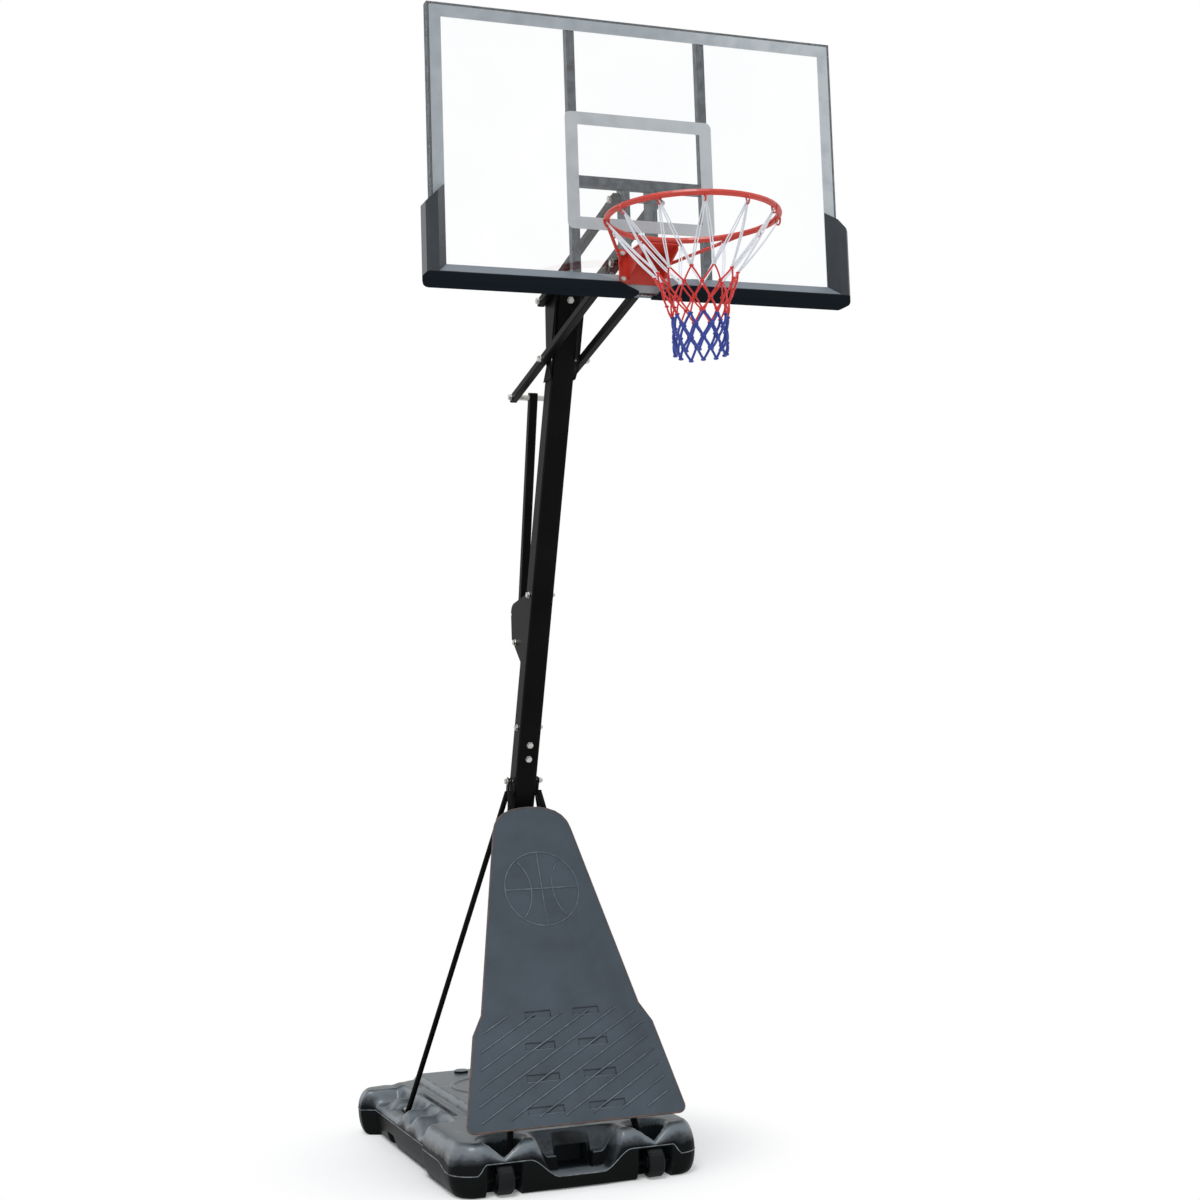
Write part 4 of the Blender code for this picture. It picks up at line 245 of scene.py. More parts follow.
STEEL = [
    "pole_lower", "pole_middle", "pole_upper", "front_strut_left", "front_strut_right",
    "side_brace_left", "side_brace_right", "head_cheek_left", "head_cheek_right",
    "lower_arm_left", "lower_arm_right", "upper_arm_left", "upper_arm_right", "lift_tube",
    "lift_bracket", "wheel_axle_left", "wheel_axle_right",
]
dress(black_powder_coat(), *STEEL)

# %% [markdown]
# Bright zinc plate on the bolts and the telescopic rod: a metal, so its colour is in its
# reflection, with soft blotches where the bath and the sun have left the film uneven.

# %% Bright zinc plate
def zinc_plate():
    made, tree, shader = start_finish("bright_zinc_plated_steel", Metallic=1.0)
    film = noise(tree, size=0.012, detail=3.0)
    tone = ramp(tree, film, (0.25, "a3a49f"), (0.75, "d2d3cf"))
    rough = mapped(tree, film, 0.0, 1.0, to_low=0.24, to_high=0.45)
    drive(tree, shader, Base_Color=tone, Roughness=rough)
    return made


ZINC = [name for name in NODES if "bolt" in name or "screw" in name]
ZINC += ["lift_rod", "tail_spacer_left", "tail_spacer_right", "lever_pin"]
dress(zinc_plate(), *ZINC)

# %% [markdown]
# The board's steel frame is painted dark grey over a rolled section that was dipped first, so it
# keeps a mottled, blue-green cast with pale blooms of about 30 mm.

# %% Mottled grey frame steel
def frame_paint():
    made, tree, shader = start_finish(
        "grey_painted_frame_steel", Roughness=0.42, Specular_IOR_Level=0.2
    )
    bloom = noise(tree, size=0.030, detail=6.0, rough=0.62)
    drive(tree, shader, Base_Color=ramp(tree, bloom, (0.38, "222c34"), (0.64, "56646e")))
    bump(tree, shader, bloom, strength=0.15, distance=0.001)
    return made


RAILS = [name for name in NODES if "rail" in name or "upright" in name]
dress(frame_paint(), "pivot_frame", *RAILS)

# %% [markdown]
# Moulded plastic has a soft sheen and the fine pebble of a blasted mould. The slate guard panel,
# the pads and the nylon wheels share the recipe with other colours, and where a surface turns up
# to the sky it is painted paler: a painted sky sheen, with a little dust too. The pebble is about
# 1 mm on the real thing and is drawn at 4 mm.

# %% Moulded plastics
# Gloss of the pads, and the height and fade of the painted shade on their lower strip.
PAD_GLOSS, PAD_STRIP, PAD_STRIP_FADE = 0.4, 0.031, 0.003


def upward_share(tree):
    """Upward share of the surface's normal: 1 faces the sky, 0 is upright, -1 faces the ground."""
    return axis_of(tree, add_node(tree, "ShaderNodeNewGeometry").outputs["Normal"], "Z")


def pebble_bump(tree, shader):
    bump(tree, shader, noise(tree, size=0.004, detail=2.0), strength=0.2, distance=0.0008)


def moulded(name, dark, light, sheen_and_dust, roughness, gloss):
    """Clouded plastic, painted paler where it turns up to the sky: a painted sky sheen over some
    dust.
    """
    made, tree, shader = start_finish(name, Roughness=roughness, Specular_IOR_Level=gloss)
    cloud = noise(tree, size=0.14, detail=6.0, rough=0.6)
    tone = ramp(tree, cloud, (0.3, dark), (0.7, light))
    # Painted sky sheen: faces that turn up take the pale third colour.
    sheen_and_dust_share = mapped(tree, upward_share(tree), 0.45, 0.85, kind="SMOOTHSTEP")
    drive(tree, shader, Base_Color=mix(tree, sheen_and_dust_share, tone, linear(sheen_and_dust)))
    pebble_bump(tree, shader)
    return made


def pad_polyurethane():
    """Pads with painted shade on their lower strip and their downward faces, which also lose their
    gloss.
    """
    # The pale third colour is a painted sky sheen on the bevels that face up.
    made = moulded("moulded_pad_polyurethane", "262c32", "30363d", "747d86", 0.34, PAD_GLOSS)
    tree = made.node_tree
    shader = tree.nodes["Principled BSDF"]
    tone = shader.inputs["Base Color"].links[0].from_socket
    strip_top = min(vertex.co.z for vertex in NODES["pad_left"].data.vertices) + PAD_STRIP
    height = axis_of(tree, position(tree), "Z")
    # Painted shade: the lower strip and the downward faces turn to the dark 191e23.
    strip_shade = mapped(tree, height, strip_top, strip_top + PAD_STRIP_FADE, to_low=1.0, to_high=0.0)
    facing_down_shade = mapped(tree, upward_share(tree), -0.4, -0.1, to_low=1.0, to_high=0.0)
    shaded = maths(tree, "MAXIMUM", strip_shade, facing_down_shade)
    gloss = mapped(tree, shaded, 0.0, 1.0, to_low=PAD_GLOSS, to_high=0.0)
    tone = mix(tree, shaded, tone, linear("191e23"))
    drive(tree, shader, Base_Color=tone, Specular_IOR_Level=gloss)
    return made


# The third colour of each is its painted sky sheen, with a little dust.
SLATE = moulded("blow_moulded_slate_polyethylene", "3d454d", "48515a", "545d66", 0.46, 0.25)
NYLON = moulded("hard_black_nylon", "0f1011", "18191b", "26282a", 0.5, 0.12)
dress(SLATE, "guard_panel")
dress(pad_polyurethane(), "pad_left", "pad_right")
dress(NYLON, "wheel_left", "wheel_right", "pole_cap", "lift_lever")

# %% [markdown]
# The black tank stands outdoors for years, with a little dust on what faces the sky. Its colour is
# mostly painted light: painted sky reflection where it faces up, painted highlights on the rounded
# edges, painted shade on the walls with weak gloss, and the darkest painted shade on the skirt
# under the seam. So its colour and its gloss follow the upward share of the surface's normal,
# broken up by clouds about 90 mm wide, and fade below the seam.

# %% Black polyethylene with painted light
def painted_light_polyethylene():
    made, tree, shader = start_finish("painted_light_black_polyethylene", Roughness=0.3)
    cloud = noise(tree, size=0.09, detail=7.0, rough=0.62)
    uneven = mapped(tree, cloud, 0.3, 0.7, to_low=-0.14, to_high=0.14)
    height = axis_of(tree, position(tree), "Z")
    # Painted shade that deepens on the skirt below the seam.
    skirt_shade = mapped(tree, height, 0.05, 0.12, to_low=-0.55, to_high=0.0)
    painted_light_level = maths(tree, "ADD", maths(tree, "ADD", upward_share(tree), uneven), skirt_shade)
    share = mapped(tree, painted_light_level, -1.0, 1.0)
    # Painted shade on the walls, painted highlights on the rounded edges, painted sky reflection
    # with dust on top.
    shade_and_highlight_stops = ((0.30, "161717"), (0.50, "16181a"), (0.62, "2d3236"), (0.72, "666d73"))
    tone = ramp(tree, share, *shade_and_highlight_stops, (0.84, "6c7479"), (0.97, "3e464a"))
    shine = ((0.50, "202020"), (0.66, "989898"), (0.84, "989898"), (0.97, "545454"))
    drive(tree, shader, Base_Color=tone, Specular_IOR_Level=ramp(tree, share, *shine))
    pebble_bump(tree, shader)
    return made


tank_plastic = painted_light_polyethylene()
dress(tank_plastic, "base_tank", "filler_cap")
# Copy of the tank plastic with painted shade and no painted sky sheen, for the faces in its
# recesses.
recess_shade_plastic = clouded(
    "recess_shade_black_polyethylene", 0.05, 3.0, (0.3, "1e2327"), (0.7, "2a3034"),
    Roughness=0.5, Specular_IOR_Level=0.08,
)

# %% [markdown]
# The ballast base is one hollow polyethylene tank. It is blow moulded: a hot tube of plastic is
# pressed by air against two mould halves, so every edge is soft, and a thin bead of flash runs
# round where the halves met. It could be carved from a box with bevels, but shapes that flow into
# each other are easier as a height over the plan: the upper and the lower skin each curve down to
# the seam at the outline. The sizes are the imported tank's, taken in much finer steps.

# %% Sizes of the base
base_low, base_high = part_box("base_tank")
FRONT, REAR, REAR_HALF = base_low.y, base_high.y, base_high.x
FRONT_HALF, WAIST_HALF = 0.412, 0.398
CORNER, TOP_EDGE, LOWER_EDGE = 0.085, 0.040, 0.030
DECK, PLATEAU_RISE, REAR_BLOCK_TOP = 0.165, 0.020, 0.156
FRONT_BLOCK, REAR_BLOCK, BLOCK_TURN = -0.215, 0.535, 0.035
SEAM_SIDE, SEAM_CORNER, SEAM_BAY, SEAM_LIP = 0.090, 0.072, 0.104, 0.044
SEAM_LIP_HALF, SEAM_BAY_FROM, SEAM_CORNER_RAMP, SEAM_TURN = 0.070, 0.170, 0.030, (-0.50, -0.40)
PLATEAU_HALF, PLATEAU_TURN, PLATEAU_FRONT, PLATEAU_RAMP = 0.206, 0.024, -0.090, 0.050
SIDE_INNER, SIDE_RAMP, POCKET_FLOOR = 0.282, 0.034, 0.112
SIDE_PROFILE = (
    (FRONT_BLOCK, DECK), (-0.105, 0.114), (0.000, 0.152), (0.0625, 0.122), (0.125, 0.151),
    (0.200, POCKET_FLOOR), (REAR_BLOCK - 0.045, POCKET_FLOOR), (REAR_BLOCK, REAR_BLOCK_TOP),
)
RIDGE_Y, RIDGE_RADIUS, RIDGE_TOP, RIDGE_END, RIDGE_EASE = 0.415, 0.050, 0.140, 0.035, 0.030
SCOOP_FLOOR_HALF, SCOOP_TOP_HALF, SCOOP_RAMP, SCOOP_LIP = 0.088, 0.150, 0.030, 0.048
SCOOP_REAR = FRONT + 0.090
JAMB_X, JAMB_Y, JAMB_RISE = (0.056, 0.062), (SCOOP_REAR - 0.030, SCOOP_REAR - 0.024), 0.046
WINDOW_HALF, WINDOW_FRONT, WINDOW_REAR = 0.055, SCOOP_REAR - 0.032, SCOOP_REAR + 0.085
WINDOW_FLOOR, WINDOW_TOP = SCOOP_LIP + 0.002, 0.116
WHEEL_X, WHEEL_Y, WHEEL_Z, AXLE_HOLE, AXLE_PAST_BAY = 0.25, -0.570, 0.051, 0.0064, 0.033
BAY_HALF, BAY_REAR, BAY_TOP = 0.059, -0.508, 0.100
WELL_X, WELL_Y, WELL_HALF, WELL_REACH, WELL_LIP = 0.240, -0.528, 0.066, 0.050, 0.016
WELL_FLOOR = BAY_TOP - 0.015
NOTCH_HALF, NOTCH_DEPTH, NOTCH_REACH = 0.074, 0.042, 0.150
HAND_INNER, HAND_FRONT, HAND_REAR, HAND_TOP = 0.353, 0.250, 0.350, 0.045
GROOVE_X, GROOVE_FRONT, GROOVE_REAR, GROOVE_DEPTH = 0.270, -0.106, 0.327, 0.017
GROOVE_WALL, CHANNEL_WALL, CHANNEL_DEPTH = (0.004, 0.011), (0.003, 0.010), 0.009
RAISED_Y, RAISED_RADIUS, RAISED_WALL, RAISED_RISE = 0.255, 0.172, (0.003, 0.009), 0.003
DIMPLE_X, DIMPLE_Y, DIMPLE_REACH, DIMPLE_WIDER, DIMPLE_DEPTH = 0.282, 0.620, 0.020, 1.5, 0.007
POLE_LEAN, POLE_AT = math.radians(21.24), Vector((0, -0.106, 1.262))
SOCKET_HALF, SOCKET_FLOOR, SOCKET_START, SOCKET_LENGTH = 0.040, 0.055, -0.0003, 0.30
SOCKET_SPAN, SOCKET_HIGH = (0.2, 0.46), 0.18
FILLER, FILLER_HOLE, FILLER_SPAN = Vector((-0.060, 0.555, DECK + PLATEAU_RISE)), 0.0224, 0.044
print("base from", base_low, "to", base_high)

# %% Smooth turns
def ease(value, low, high):
    """0 up to low, 1 from high, and a smooth turn between."""
    t = min(max((value - low) / (high - low), 0.0), 1.0)
    return t * t * (3 - 2 * t)


def eased_path(points, value):
    for (low, start), (high, end) in zip(points, points[1:]):
        if value <= high:
            return start + (end - start) * ease(value, low, high)
    return points[-1][1]


def quarter_drop(away, radius):
    """How far a rounded edge lies below its top at a distance inside it."""
    inward = min(max(away / radius, 0.0), 1.0)
    return radius * (1 - math.sqrt(1 - (1 - inward) ** 2))


# %% Outline of the base
def straight_half(y):
    front = 1 - ease(y, FRONT_BLOCK, FRONT_BLOCK + BLOCK_TURN)
    rear = ease(y, REAR_BLOCK - BLOCK_TURN, REAR_BLOCK)
    return WAIST_HALF + (FRONT_HALF - WAIST_HALF) * front + (REAR_HALF - WAIST_HALF) * rear


def past_corner(y):
    return max(y - (REAR - CORNER), FRONT + CORNER - y)


def outline_half(y):
    over = max(past_corner(y), 0.0)
    return straight_half(y) - CORNER + math.sqrt(max(CORNER**2 - over**2, 0.0))


def edge_distance(x, y):
    over_x = abs(x) - (straight_half(y) - CORNER)
    over_y = past_corner(y)
    outside = math.hypot(max(over_x, 0.0), max(over_y, 0.0))
    return max(CORNER - outside - min(max(over_x, over_y), 0.0), 0.0)


def seam_height(x, y):
    """The seam dips to the front lip, arches over the wheel bays and runs level along the sides."""
    bay_side = WHEEL_X + BAY_HALF
    front = eased_path(
        (
            (0, SEAM_LIP), (SEAM_LIP_HALF, SEAM_LIP), (SEAM_BAY_FROM, SEAM_BAY),
            (bay_side, SEAM_BAY), (bay_side + SEAM_CORNER_RAMP, SEAM_CORNER),
        ),
        abs(x),
    )
    return front + (SEAM_SIDE - front) * ease(y, *SEAM_TURN)


print("outline half widths", [round(outline_half(y), 3) for y in (-0.59, -0.3, 0.2, 0.6)])

# %% Height of the deck
def ridge_height(x, y):
    """Rounded ridge across each side pocket, rounded at its outer end too."""
    inside = RIDGE_RADIUS**2 - (y - RIDGE_Y) ** 2
    end = straight_half(y) - RIDGE_END - x
    if inside <= 0 or end <= 0:
        return 0.0
    rise = math.sqrt(inside) / RIDGE_RADIUS * math.sqrt(min(end / RIDGE_EASE, 1.0))
    return POCKET_FLOOR + (RIDGE_TOP - POCKET_FLOOR) * rise


def notch_drop(x, y):
    """Vee over each wheel bay, deepest at the base's front."""
    front = 1 - ease(y, FRONT + NOTCH_REACH / 2, FRONT + NOTCH_REACH)
    beside = min(abs(x - WHEEL_X) / NOTCH_HALF, 1.0)
    return NOTCH_DEPTH * front * (1 - math.sin(beside * math.pi / 2))


def well_drop(x, y):
    """Rounded lip round the well that each front strut goes down."""
    away = math.hypot((x - WELL_X) / WELL_HALF, (y - WELL_Y) / WELL_REACH) - 1
    return quarter_drop(away * (WELL_HALF + WELL_REACH) / 2, WELL_LIP)


def groove_drop(x, y):
    along = max(GROOVE_FRONT - y, y - GROOVE_REAR, 0.0)
    return GROOVE_DEPTH * (1 - ease(math.hypot(x - GROOVE_X, along), *GROOVE_WALL))


def fine_relief(x, y):
    """Raised ring round the pole, channel along the plateau's foot, dimple in each rear block."""
    ring = abs(math.hypot(x, y - RAISED_Y) - RAISED_RADIUS)
    along = max(PLATEAU_FRONT - y, y - REAR_BLOCK, 0.0)
    channel = math.hypot(x - PLATEAU_HALF - PLATEAU_TURN, along)
    dimple = math.hypot((x - DIMPLE_X) / DIMPLE_WIDER, y - DIMPLE_Y) / DIMPLE_REACH
    relief = RAISED_RISE * (1 - ease(ring, *RAISED_WALL)) - DIMPLE_DEPTH * math.exp(-(dimple**2))
    return relief - CHANNEL_DEPTH * (1 - ease(channel, *CHANNEL_WALL))


def deck_height(x, y):
    x = abs(x)
    plateau = ease(-x, -PLATEAU_HALF - PLATEAU_TURN, -PLATEAU_HALF)
    plateau *= ease(y, PLATEAU_FRONT - PLATEAU_RAMP, PLATEAU_FRONT)
    height = DECK + PLATEAU_RISE * plateau
    height += (eased_path(SIDE_PROFILE, y) - height) * ease(x, SIDE_INNER, SIDE_INNER + SIDE_RAMP)
    height = max(height, ridge_height(x, y)) + fine_relief(x, y)
    height -= max(notch_drop(x, y), 0.0) + well_drop(x, y) + groove_drop(x, y)
    scoop = 1 - ease(x, SCOOP_FLOOR_HALF, SCOOP_TOP_HALF)
    scoop *= 1 - ease(y, SCOOP_REAR, SCOOP_REAR + SCOOP_RAMP)
    floor = SCOOP_LIP + JAMB_RISE * (ease(x, *JAMB_X) * ease(y, *JAMB_Y))
    return height + (floor - height) * scoop


def skin_height(x, y, upper):
    seam = seam_height(x, y)
    target, edge = (deck_height(x, y), TOP_EDGE) if upper else (0.0, LOWER_EDGE)
    inward = min(edge_distance(x, y) / edge, 1.0)
    return seam + (target - seam) * math.sqrt(1 - (1 - inward) ** 2)


print("deck heights", [round(deck_height(x, 0.3), 3) for x in (0.0, 0.21, 0.27, 0.35)])

# %% Close places where the skin turns
EDGE_STEPS = [TOP_EDGE * share for share in (0.0, 0.012, 0.05, 0.12, 0.22, 0.36, 0.52, 0.75, 1.0)]
SPACING, EDGE_ROWS, LAST_COLUMN, LEAST_STEP = 0.008, 0.036, 0.352, 0.0004


def close_places(low, high, turns):
    """Even places from low to high, with closer ones round each turn (centre, reach, spacing)."""
    count = round((high - low) / SPACING)
    places = [low + (high - low) * i / count for i in range(count)]
    for centre, reach, close in turns:
        places = [p for p in places if abs(p - centre) > reach]
        places += [centre - reach + close * i for i in range(round(2 * reach / close) + 1)]
    return sorted(p for p in set(round(p, 5) for p in places) if low <= p < high)


ROW_TURNS = (
    (WHEEL_Y, 0.020, 0.0025), (-0.505, 0.050, 0.004), (GROOVE_FRONT, 0.012, 0.003),
    (-0.2, 0.02, 0.004), (GROOVE_REAR, 0.012, 0.003), (RIDGE_Y, 0.052, 0.004),
    (0.514, 0.024, 0.004),
)
COLUMN_TURNS = (
    (0.059, 0.006, 0.002), (0.170, 0.014, 0.0025), (0.224, 0.018, 0.002), (WHEEL_X, 0.006, 0.003),
    (GROOVE_X, 0.012, 0.002), (0.299, 0.017, 0.004), (0.330, 0.012, 0.0025),
)
places = close_places(FRONT, REAR, ROW_TURNS)
rows = [FRONT + step for step in EDGE_STEPS[:-1]] + [REAR - step for step in EDGE_STEPS[:-1]]
rows = sorted(rows + [y for y in places if FRONT + EDGE_ROWS < y < REAR - EDGE_ROWS])
columns = close_places(0.0, LAST_COLUMN, COLUMN_TURNS)
print(len(rows), "rows of", 2 * (len(columns) + len(EDGE_STEPS)) - 1, "places on each skin")

# %% The two skins
def row_places(y):
    """X places across one row: fixed ones inside, and ones that follow the outline at its edge."""
    half = outline_half(y)
    limit = half - TOP_EDGE
    inner = [min(x, limit - LEAST_STEP * (len(columns) - i)) for i, x in enumerate(columns)]
    side = inner + [half - step for step in reversed(EDGE_STEPS)]
    return [-x for x in reversed(side)] + side[1:]


def base_mesh():
    points, faces = [], []
    for y in rows:
        places = row_places(y)
        points += [(x, y, skin_height(x, y, True)) for x in places]
        points += [(x, y, skin_height(x, y, False)) for x in reversed(places[1:-1])]
    count = len(points) // len(rows)
    for row in range(len(rows) - 1):
        start = row * count
        for i in range(count):
            k = (i + 1) % count
            faces.append((start + i, start + k, start + count + k, start + count + i))
    faces += [tuple(range(count)), tuple(range(len(points) - count, len(points)))[::-1]]
    return points, faces


def mesh_object(name, points, faces, material):
    """New object from points and faces, with its normals made consistent."""
    mesh = bpy.data.meshes.new(name)
    mesh.from_pydata(points, [], faces)
    shape = bmesh.new()
    shape.from_mesh(mesh)
    bmesh.ops.recalc_face_normals(shape, faces=shape.faces)
    shape.to_mesh(mesh)
    shape.free()
    mesh.materials.append(material)
    return link_object(name, mesh)


base = mesh_object("ballast_base", *base_mesh(), tank_plastic)
print("uncut base:", len(base.data.vertices), "points")

# %% Cutters for the bays, wells, window, pole and hand notches
BEYOND, SOFT_EDGE, HAND_EDGE = 0.020, 0.006, 0.012


def cutter_box(low, high, rounded=0.0):
    low, high = Vector(low), Vector(high)
    shape = bmesh.new()
    bmesh.ops.create_cube(shape, size=1.0)
    bmesh.ops.scale(shape, vec=high - low, verts=shape.verts)
    bmesh.ops.translate(shape, vec=(low + high) / 2, verts=shape.verts)
    if rounded:
        edges = shape.edges[:]
        bmesh.ops.bevel(
            shape, geom=edges, offset=rounded, segments=4, profile=0.5, affect="EDGES"
        )
    return shape


def cutter_round(place, radius, length, segments=32):
    """Cylinder about the Z axis of a place, or a turned or stretched one."""
    shape = bmesh.new()
    sizes = {"radius1": radius, "radius2": radius, "depth": length}
    bmesh.ops.create_cone(shape, cap_ends=True, segments=segments, matrix=place, **sizes)
    return shape


def side_cutters(side):
    """Wheel bay, strut well, axle hole and hand notch of one side."""
    middle = side * WHEEL_X
    bay_low, bay_high = (middle - BAY_HALF, FRONT - BEYOND), (middle + BAY_HALF, BAY_REAR)
    bay = cutter_box((*bay_low, -BEYOND), (*bay_high, BAY_TOP), SOFT_EDGE)
    well_top = DECK + BEYOND
    well = Matrix.Translation((side * WELL_X, WELL_Y, (WELL_FLOOR + well_top) / 2))
    well = well @ Matrix.Diagonal((WELL_HALF, WELL_REACH, 1, 1))
    sideways = Matrix.Rotation(math.radians(90), 4, "Y")
    axle = Matrix.Translation((middle, WHEEL_Y, WHEEL_Z)) @ sideways
    inner, outer = sorted((side * HAND_INNER, side * (REAR_HALF + BEYOND)))
    return [
        bay,
        cutter_round(well, 1.0, well_top - WELL_FLOOR, segments=64),
        cutter_round(axle, AXLE_HOLE, 2 * BAY_HALF + AXLE_PAST_BAY),
        cutter_box((inner, HAND_FRONT, -BEYOND), (outer, HAND_REAR, HAND_TOP), HAND_EDGE),
    ]


def pole_cutter():
    """Slot for the square pole, 2 mm clear of it, along its lean."""
    low = (-SOCKET_HALF, -SOCKET_HALF, SOCKET_START)
    shape = cutter_box(low, (SOCKET_HALF, SOCKET_HALF, SOCKET_LENGTH))
    down = Vector((0, math.sin(POLE_LEAN), -math.cos(POLE_LEAN)))
    foot = POLE_AT + down * (POLE_AT.z - SOCKET_FLOOR) / math.cos(POLE_LEAN)
    place = Matrix.Translation(foot) @ Matrix.Rotation(POLE_LEAN, 4, "X")
    bmesh.ops.transform(shape, matrix=place, verts=shape.verts)
    return shape


window_low, window_high = (-WINDOW_HALF, WINDOW_FRONT), (WINDOW_HALF, WINDOW_REAR)
cutters = [cutter_box((*window_low, WINDOW_FLOOR), (*window_high, WINDOW_TOP), SOFT_EDGE)]
cutters += side_cutters(-1) + side_cutters(1)
cutters += [pole_cutter(), cutter_round(Matrix.Translation(FILLER), FILLER_HOLE, FILLER_SPAN)]
print(len(cutters), "cutters")

# %% Cut the base
for index, shape in enumerate(cutters):
    mesh = bpy.data.meshes.new(f"cutter_{index}")
    shape.to_mesh(mesh)
    shape.free()
    step = base.modifiers.new(f"cut_{index}", "BOOLEAN")
    step.object = link_object(f"cutter_{index}", mesh)
    step.operation = "DIFFERENCE"
    step.solver = "EXACT"
graph = bpy.context.evaluated_depsgraph_get()
cut_mesh = bpy.data.meshes.new_from_object(base.evaluated_get(graph))
for step in list(base.modifiers):
    bpy.data.objects.remove(step.object)
base.modifiers.clear()
base.data = cut_mesh
cut_mesh.shade_smooth()
cut_mesh.set_sharp_from_angle(angle=math.radians(38))

NEAR, WINDOW_BEFORE = 0.0005, 0.010


def in_recess_shade(place):
    """True for a face inside a bay, a well, the window, a hand notch or the pole's socket: painted
    shade.
    """
    x, y, z = abs(place.x), place.y, place.z
    in_bay = abs(x - WHEEL_X) < BAY_HALF + NEAR and FRONT + NEAR < y < BAY_REAR + NEAR
    well = math.hypot((x - WELL_X) / (WELL_HALF + NEAR), (y - WELL_Y) / (WELL_REACH + NEAR)) < 1
    in_window = x < WINDOW_HALF + NEAR and SCOOP_REAR - WINDOW_BEFORE < y < WINDOW_REAR + 2 * NEAR
    in_notch = x > HAND_INNER - NEAR and HAND_FRONT - NEAR < y < HAND_REAR + NEAR
    in_socket = x < SOCKET_HALF + NEAR and SOCKET_SPAN[0] < y < SOCKET_SPAN[1]
    tops = (
        (in_bay, BAY_TOP + NEAR), (in_window, WINDOW_TOP + NEAR), (in_notch, HAND_TOP + NEAR),
        (in_socket, SOCKET_HIGH),
    )
    return well or any(inside and z < top for inside, top in tops)


# Painted shade: faces in the recesses take the second, shaded plastic.
cut_mesh.materials.append(recess_shade_plastic)
for face in cut_mesh.polygons:
    face.material_index = 1 if in_recess_shade(face.center) else 0
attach(base, "stand")
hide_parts("base_tank")
print("cut base:", len(cut_mesh.vertices), "points")

# %% [markdown]
# Where the mould halves met, the trimmed flash stands proud as a thin bead, painted pale as a
# highlight.

# %% Seam bead
SEAM_RADIUS = 0.0016


def outline_path():
    """Points once round the outline at the height of the seam, anticlockwise from above."""
    turns = [math.radians(90 * i / 12) for i in range(12)]
    flat = straight_half(FRONT) - CORNER
    half = [(flat * i / 40, FRONT) for i in range(40)]
    for turn in turns:
        y = FRONT + CORNER * (1 - math.cos(turn))
        half.append((straight_half(y) - CORNER * (1 - math.sin(turn)), y))
    low, high = FRONT + CORNER, REAR - CORNER
    count = round((high - low) / SPACING)
    ahead = [low + (high - low) * i / count for i in range(count)]
    half += [(straight_half(y), y) for y in ahead]
    for turn in turns:
        y = REAR - CORNER * (1 - math.sin(turn))
        half.append((straight_half(y) - CORNER * (1 - math.cos(turn)), y))
    flat = straight_half(REAR) - CORNER
    half += [(flat * (1 - i / 20), REAR) for i in range(21)]
    points = half + [(-x, y) for x, y in reversed(half[1:-1])]
    return [Vector((x, y, seam_height(x, y))) for x, y in points]


def painted_line_plastic(name, dark, light):
    """Line of plastic painted as light or shade, clouded in streaks about 25 mm long."""
    gloss = {"Roughness": 0.5, "Specular_IOR_Level": 0.3}
    return clouded(name, 0.025, 4.0, (0.3, dark), (0.7, light), **gloss)


seam = Tubes()
seam.sweep(outline_path(), SEAM_RADIUS, sides=6, closed=True)
# The seam's pale colour is a painted highlight.
seam_highlight_plastic = painted_line_plastic("seam_highlight_black_polyethylene", "3c4144", "868c8e")
seam_piece = seam.build("mould_seam", seam_highlight_plastic, "stand")

# %% [markdown]
# The guard panel is a leaning slab with its drawing moulded proud of the face. The imported panel
# has the ribs, slots and ball as low steps; here their crests get a painted highlight line, they
# and the slots get painted shadow lines, and the rim gets a painted brownish reflection of the
# ground.

# %% Places on the guard panel
panel_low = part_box("guard_panel")[0]
PANEL_LEAN, PANEL_THICKNESS = math.radians(23.8), 0.007
PANEL_UP = Vector((0, math.sin(PANEL_LEAN), math.cos(PANEL_LEAN)))
PANEL_OUT = Vector((0, -math.cos(PANEL_LEAN), math.sin(PANEL_LEAN)))
PANEL_FOOT = Vector((0, panel_low.y, panel_low.z + PANEL_THICKNESS * math.sin(PANEL_LEAN)))
PANEL_TOP, PANEL_CORNER = 1.06595, 0.022
PANEL_SIDE = ((0.0, 0.3635), (0.301, 0.305), (0.366, 0.268), (PANEL_TOP - 0.081, 0.137))
CROWN_SLOPE, CROWN_FLAT, RIM_MIDDLE, RIM_SUNK = 0.72, 0.55, 0.45, 0.0008


def on_panel(x, y, lift=0.0):
    """Point at x across and y up the panel's face, lifted off it."""
    return PANEL_FOOT + Vector((x, 0, 0)) + PANEL_UP * y + PANEL_OUT * lift


def panel_half(y):
    for (low, wide), (high, narrow) in zip(PANEL_SIDE, PANEL_SIDE[1:]):
        if y <= high:
            return wide + (narrow - wide) * (y - low) / (high - low)
    return PANEL_SIDE[-1][1]


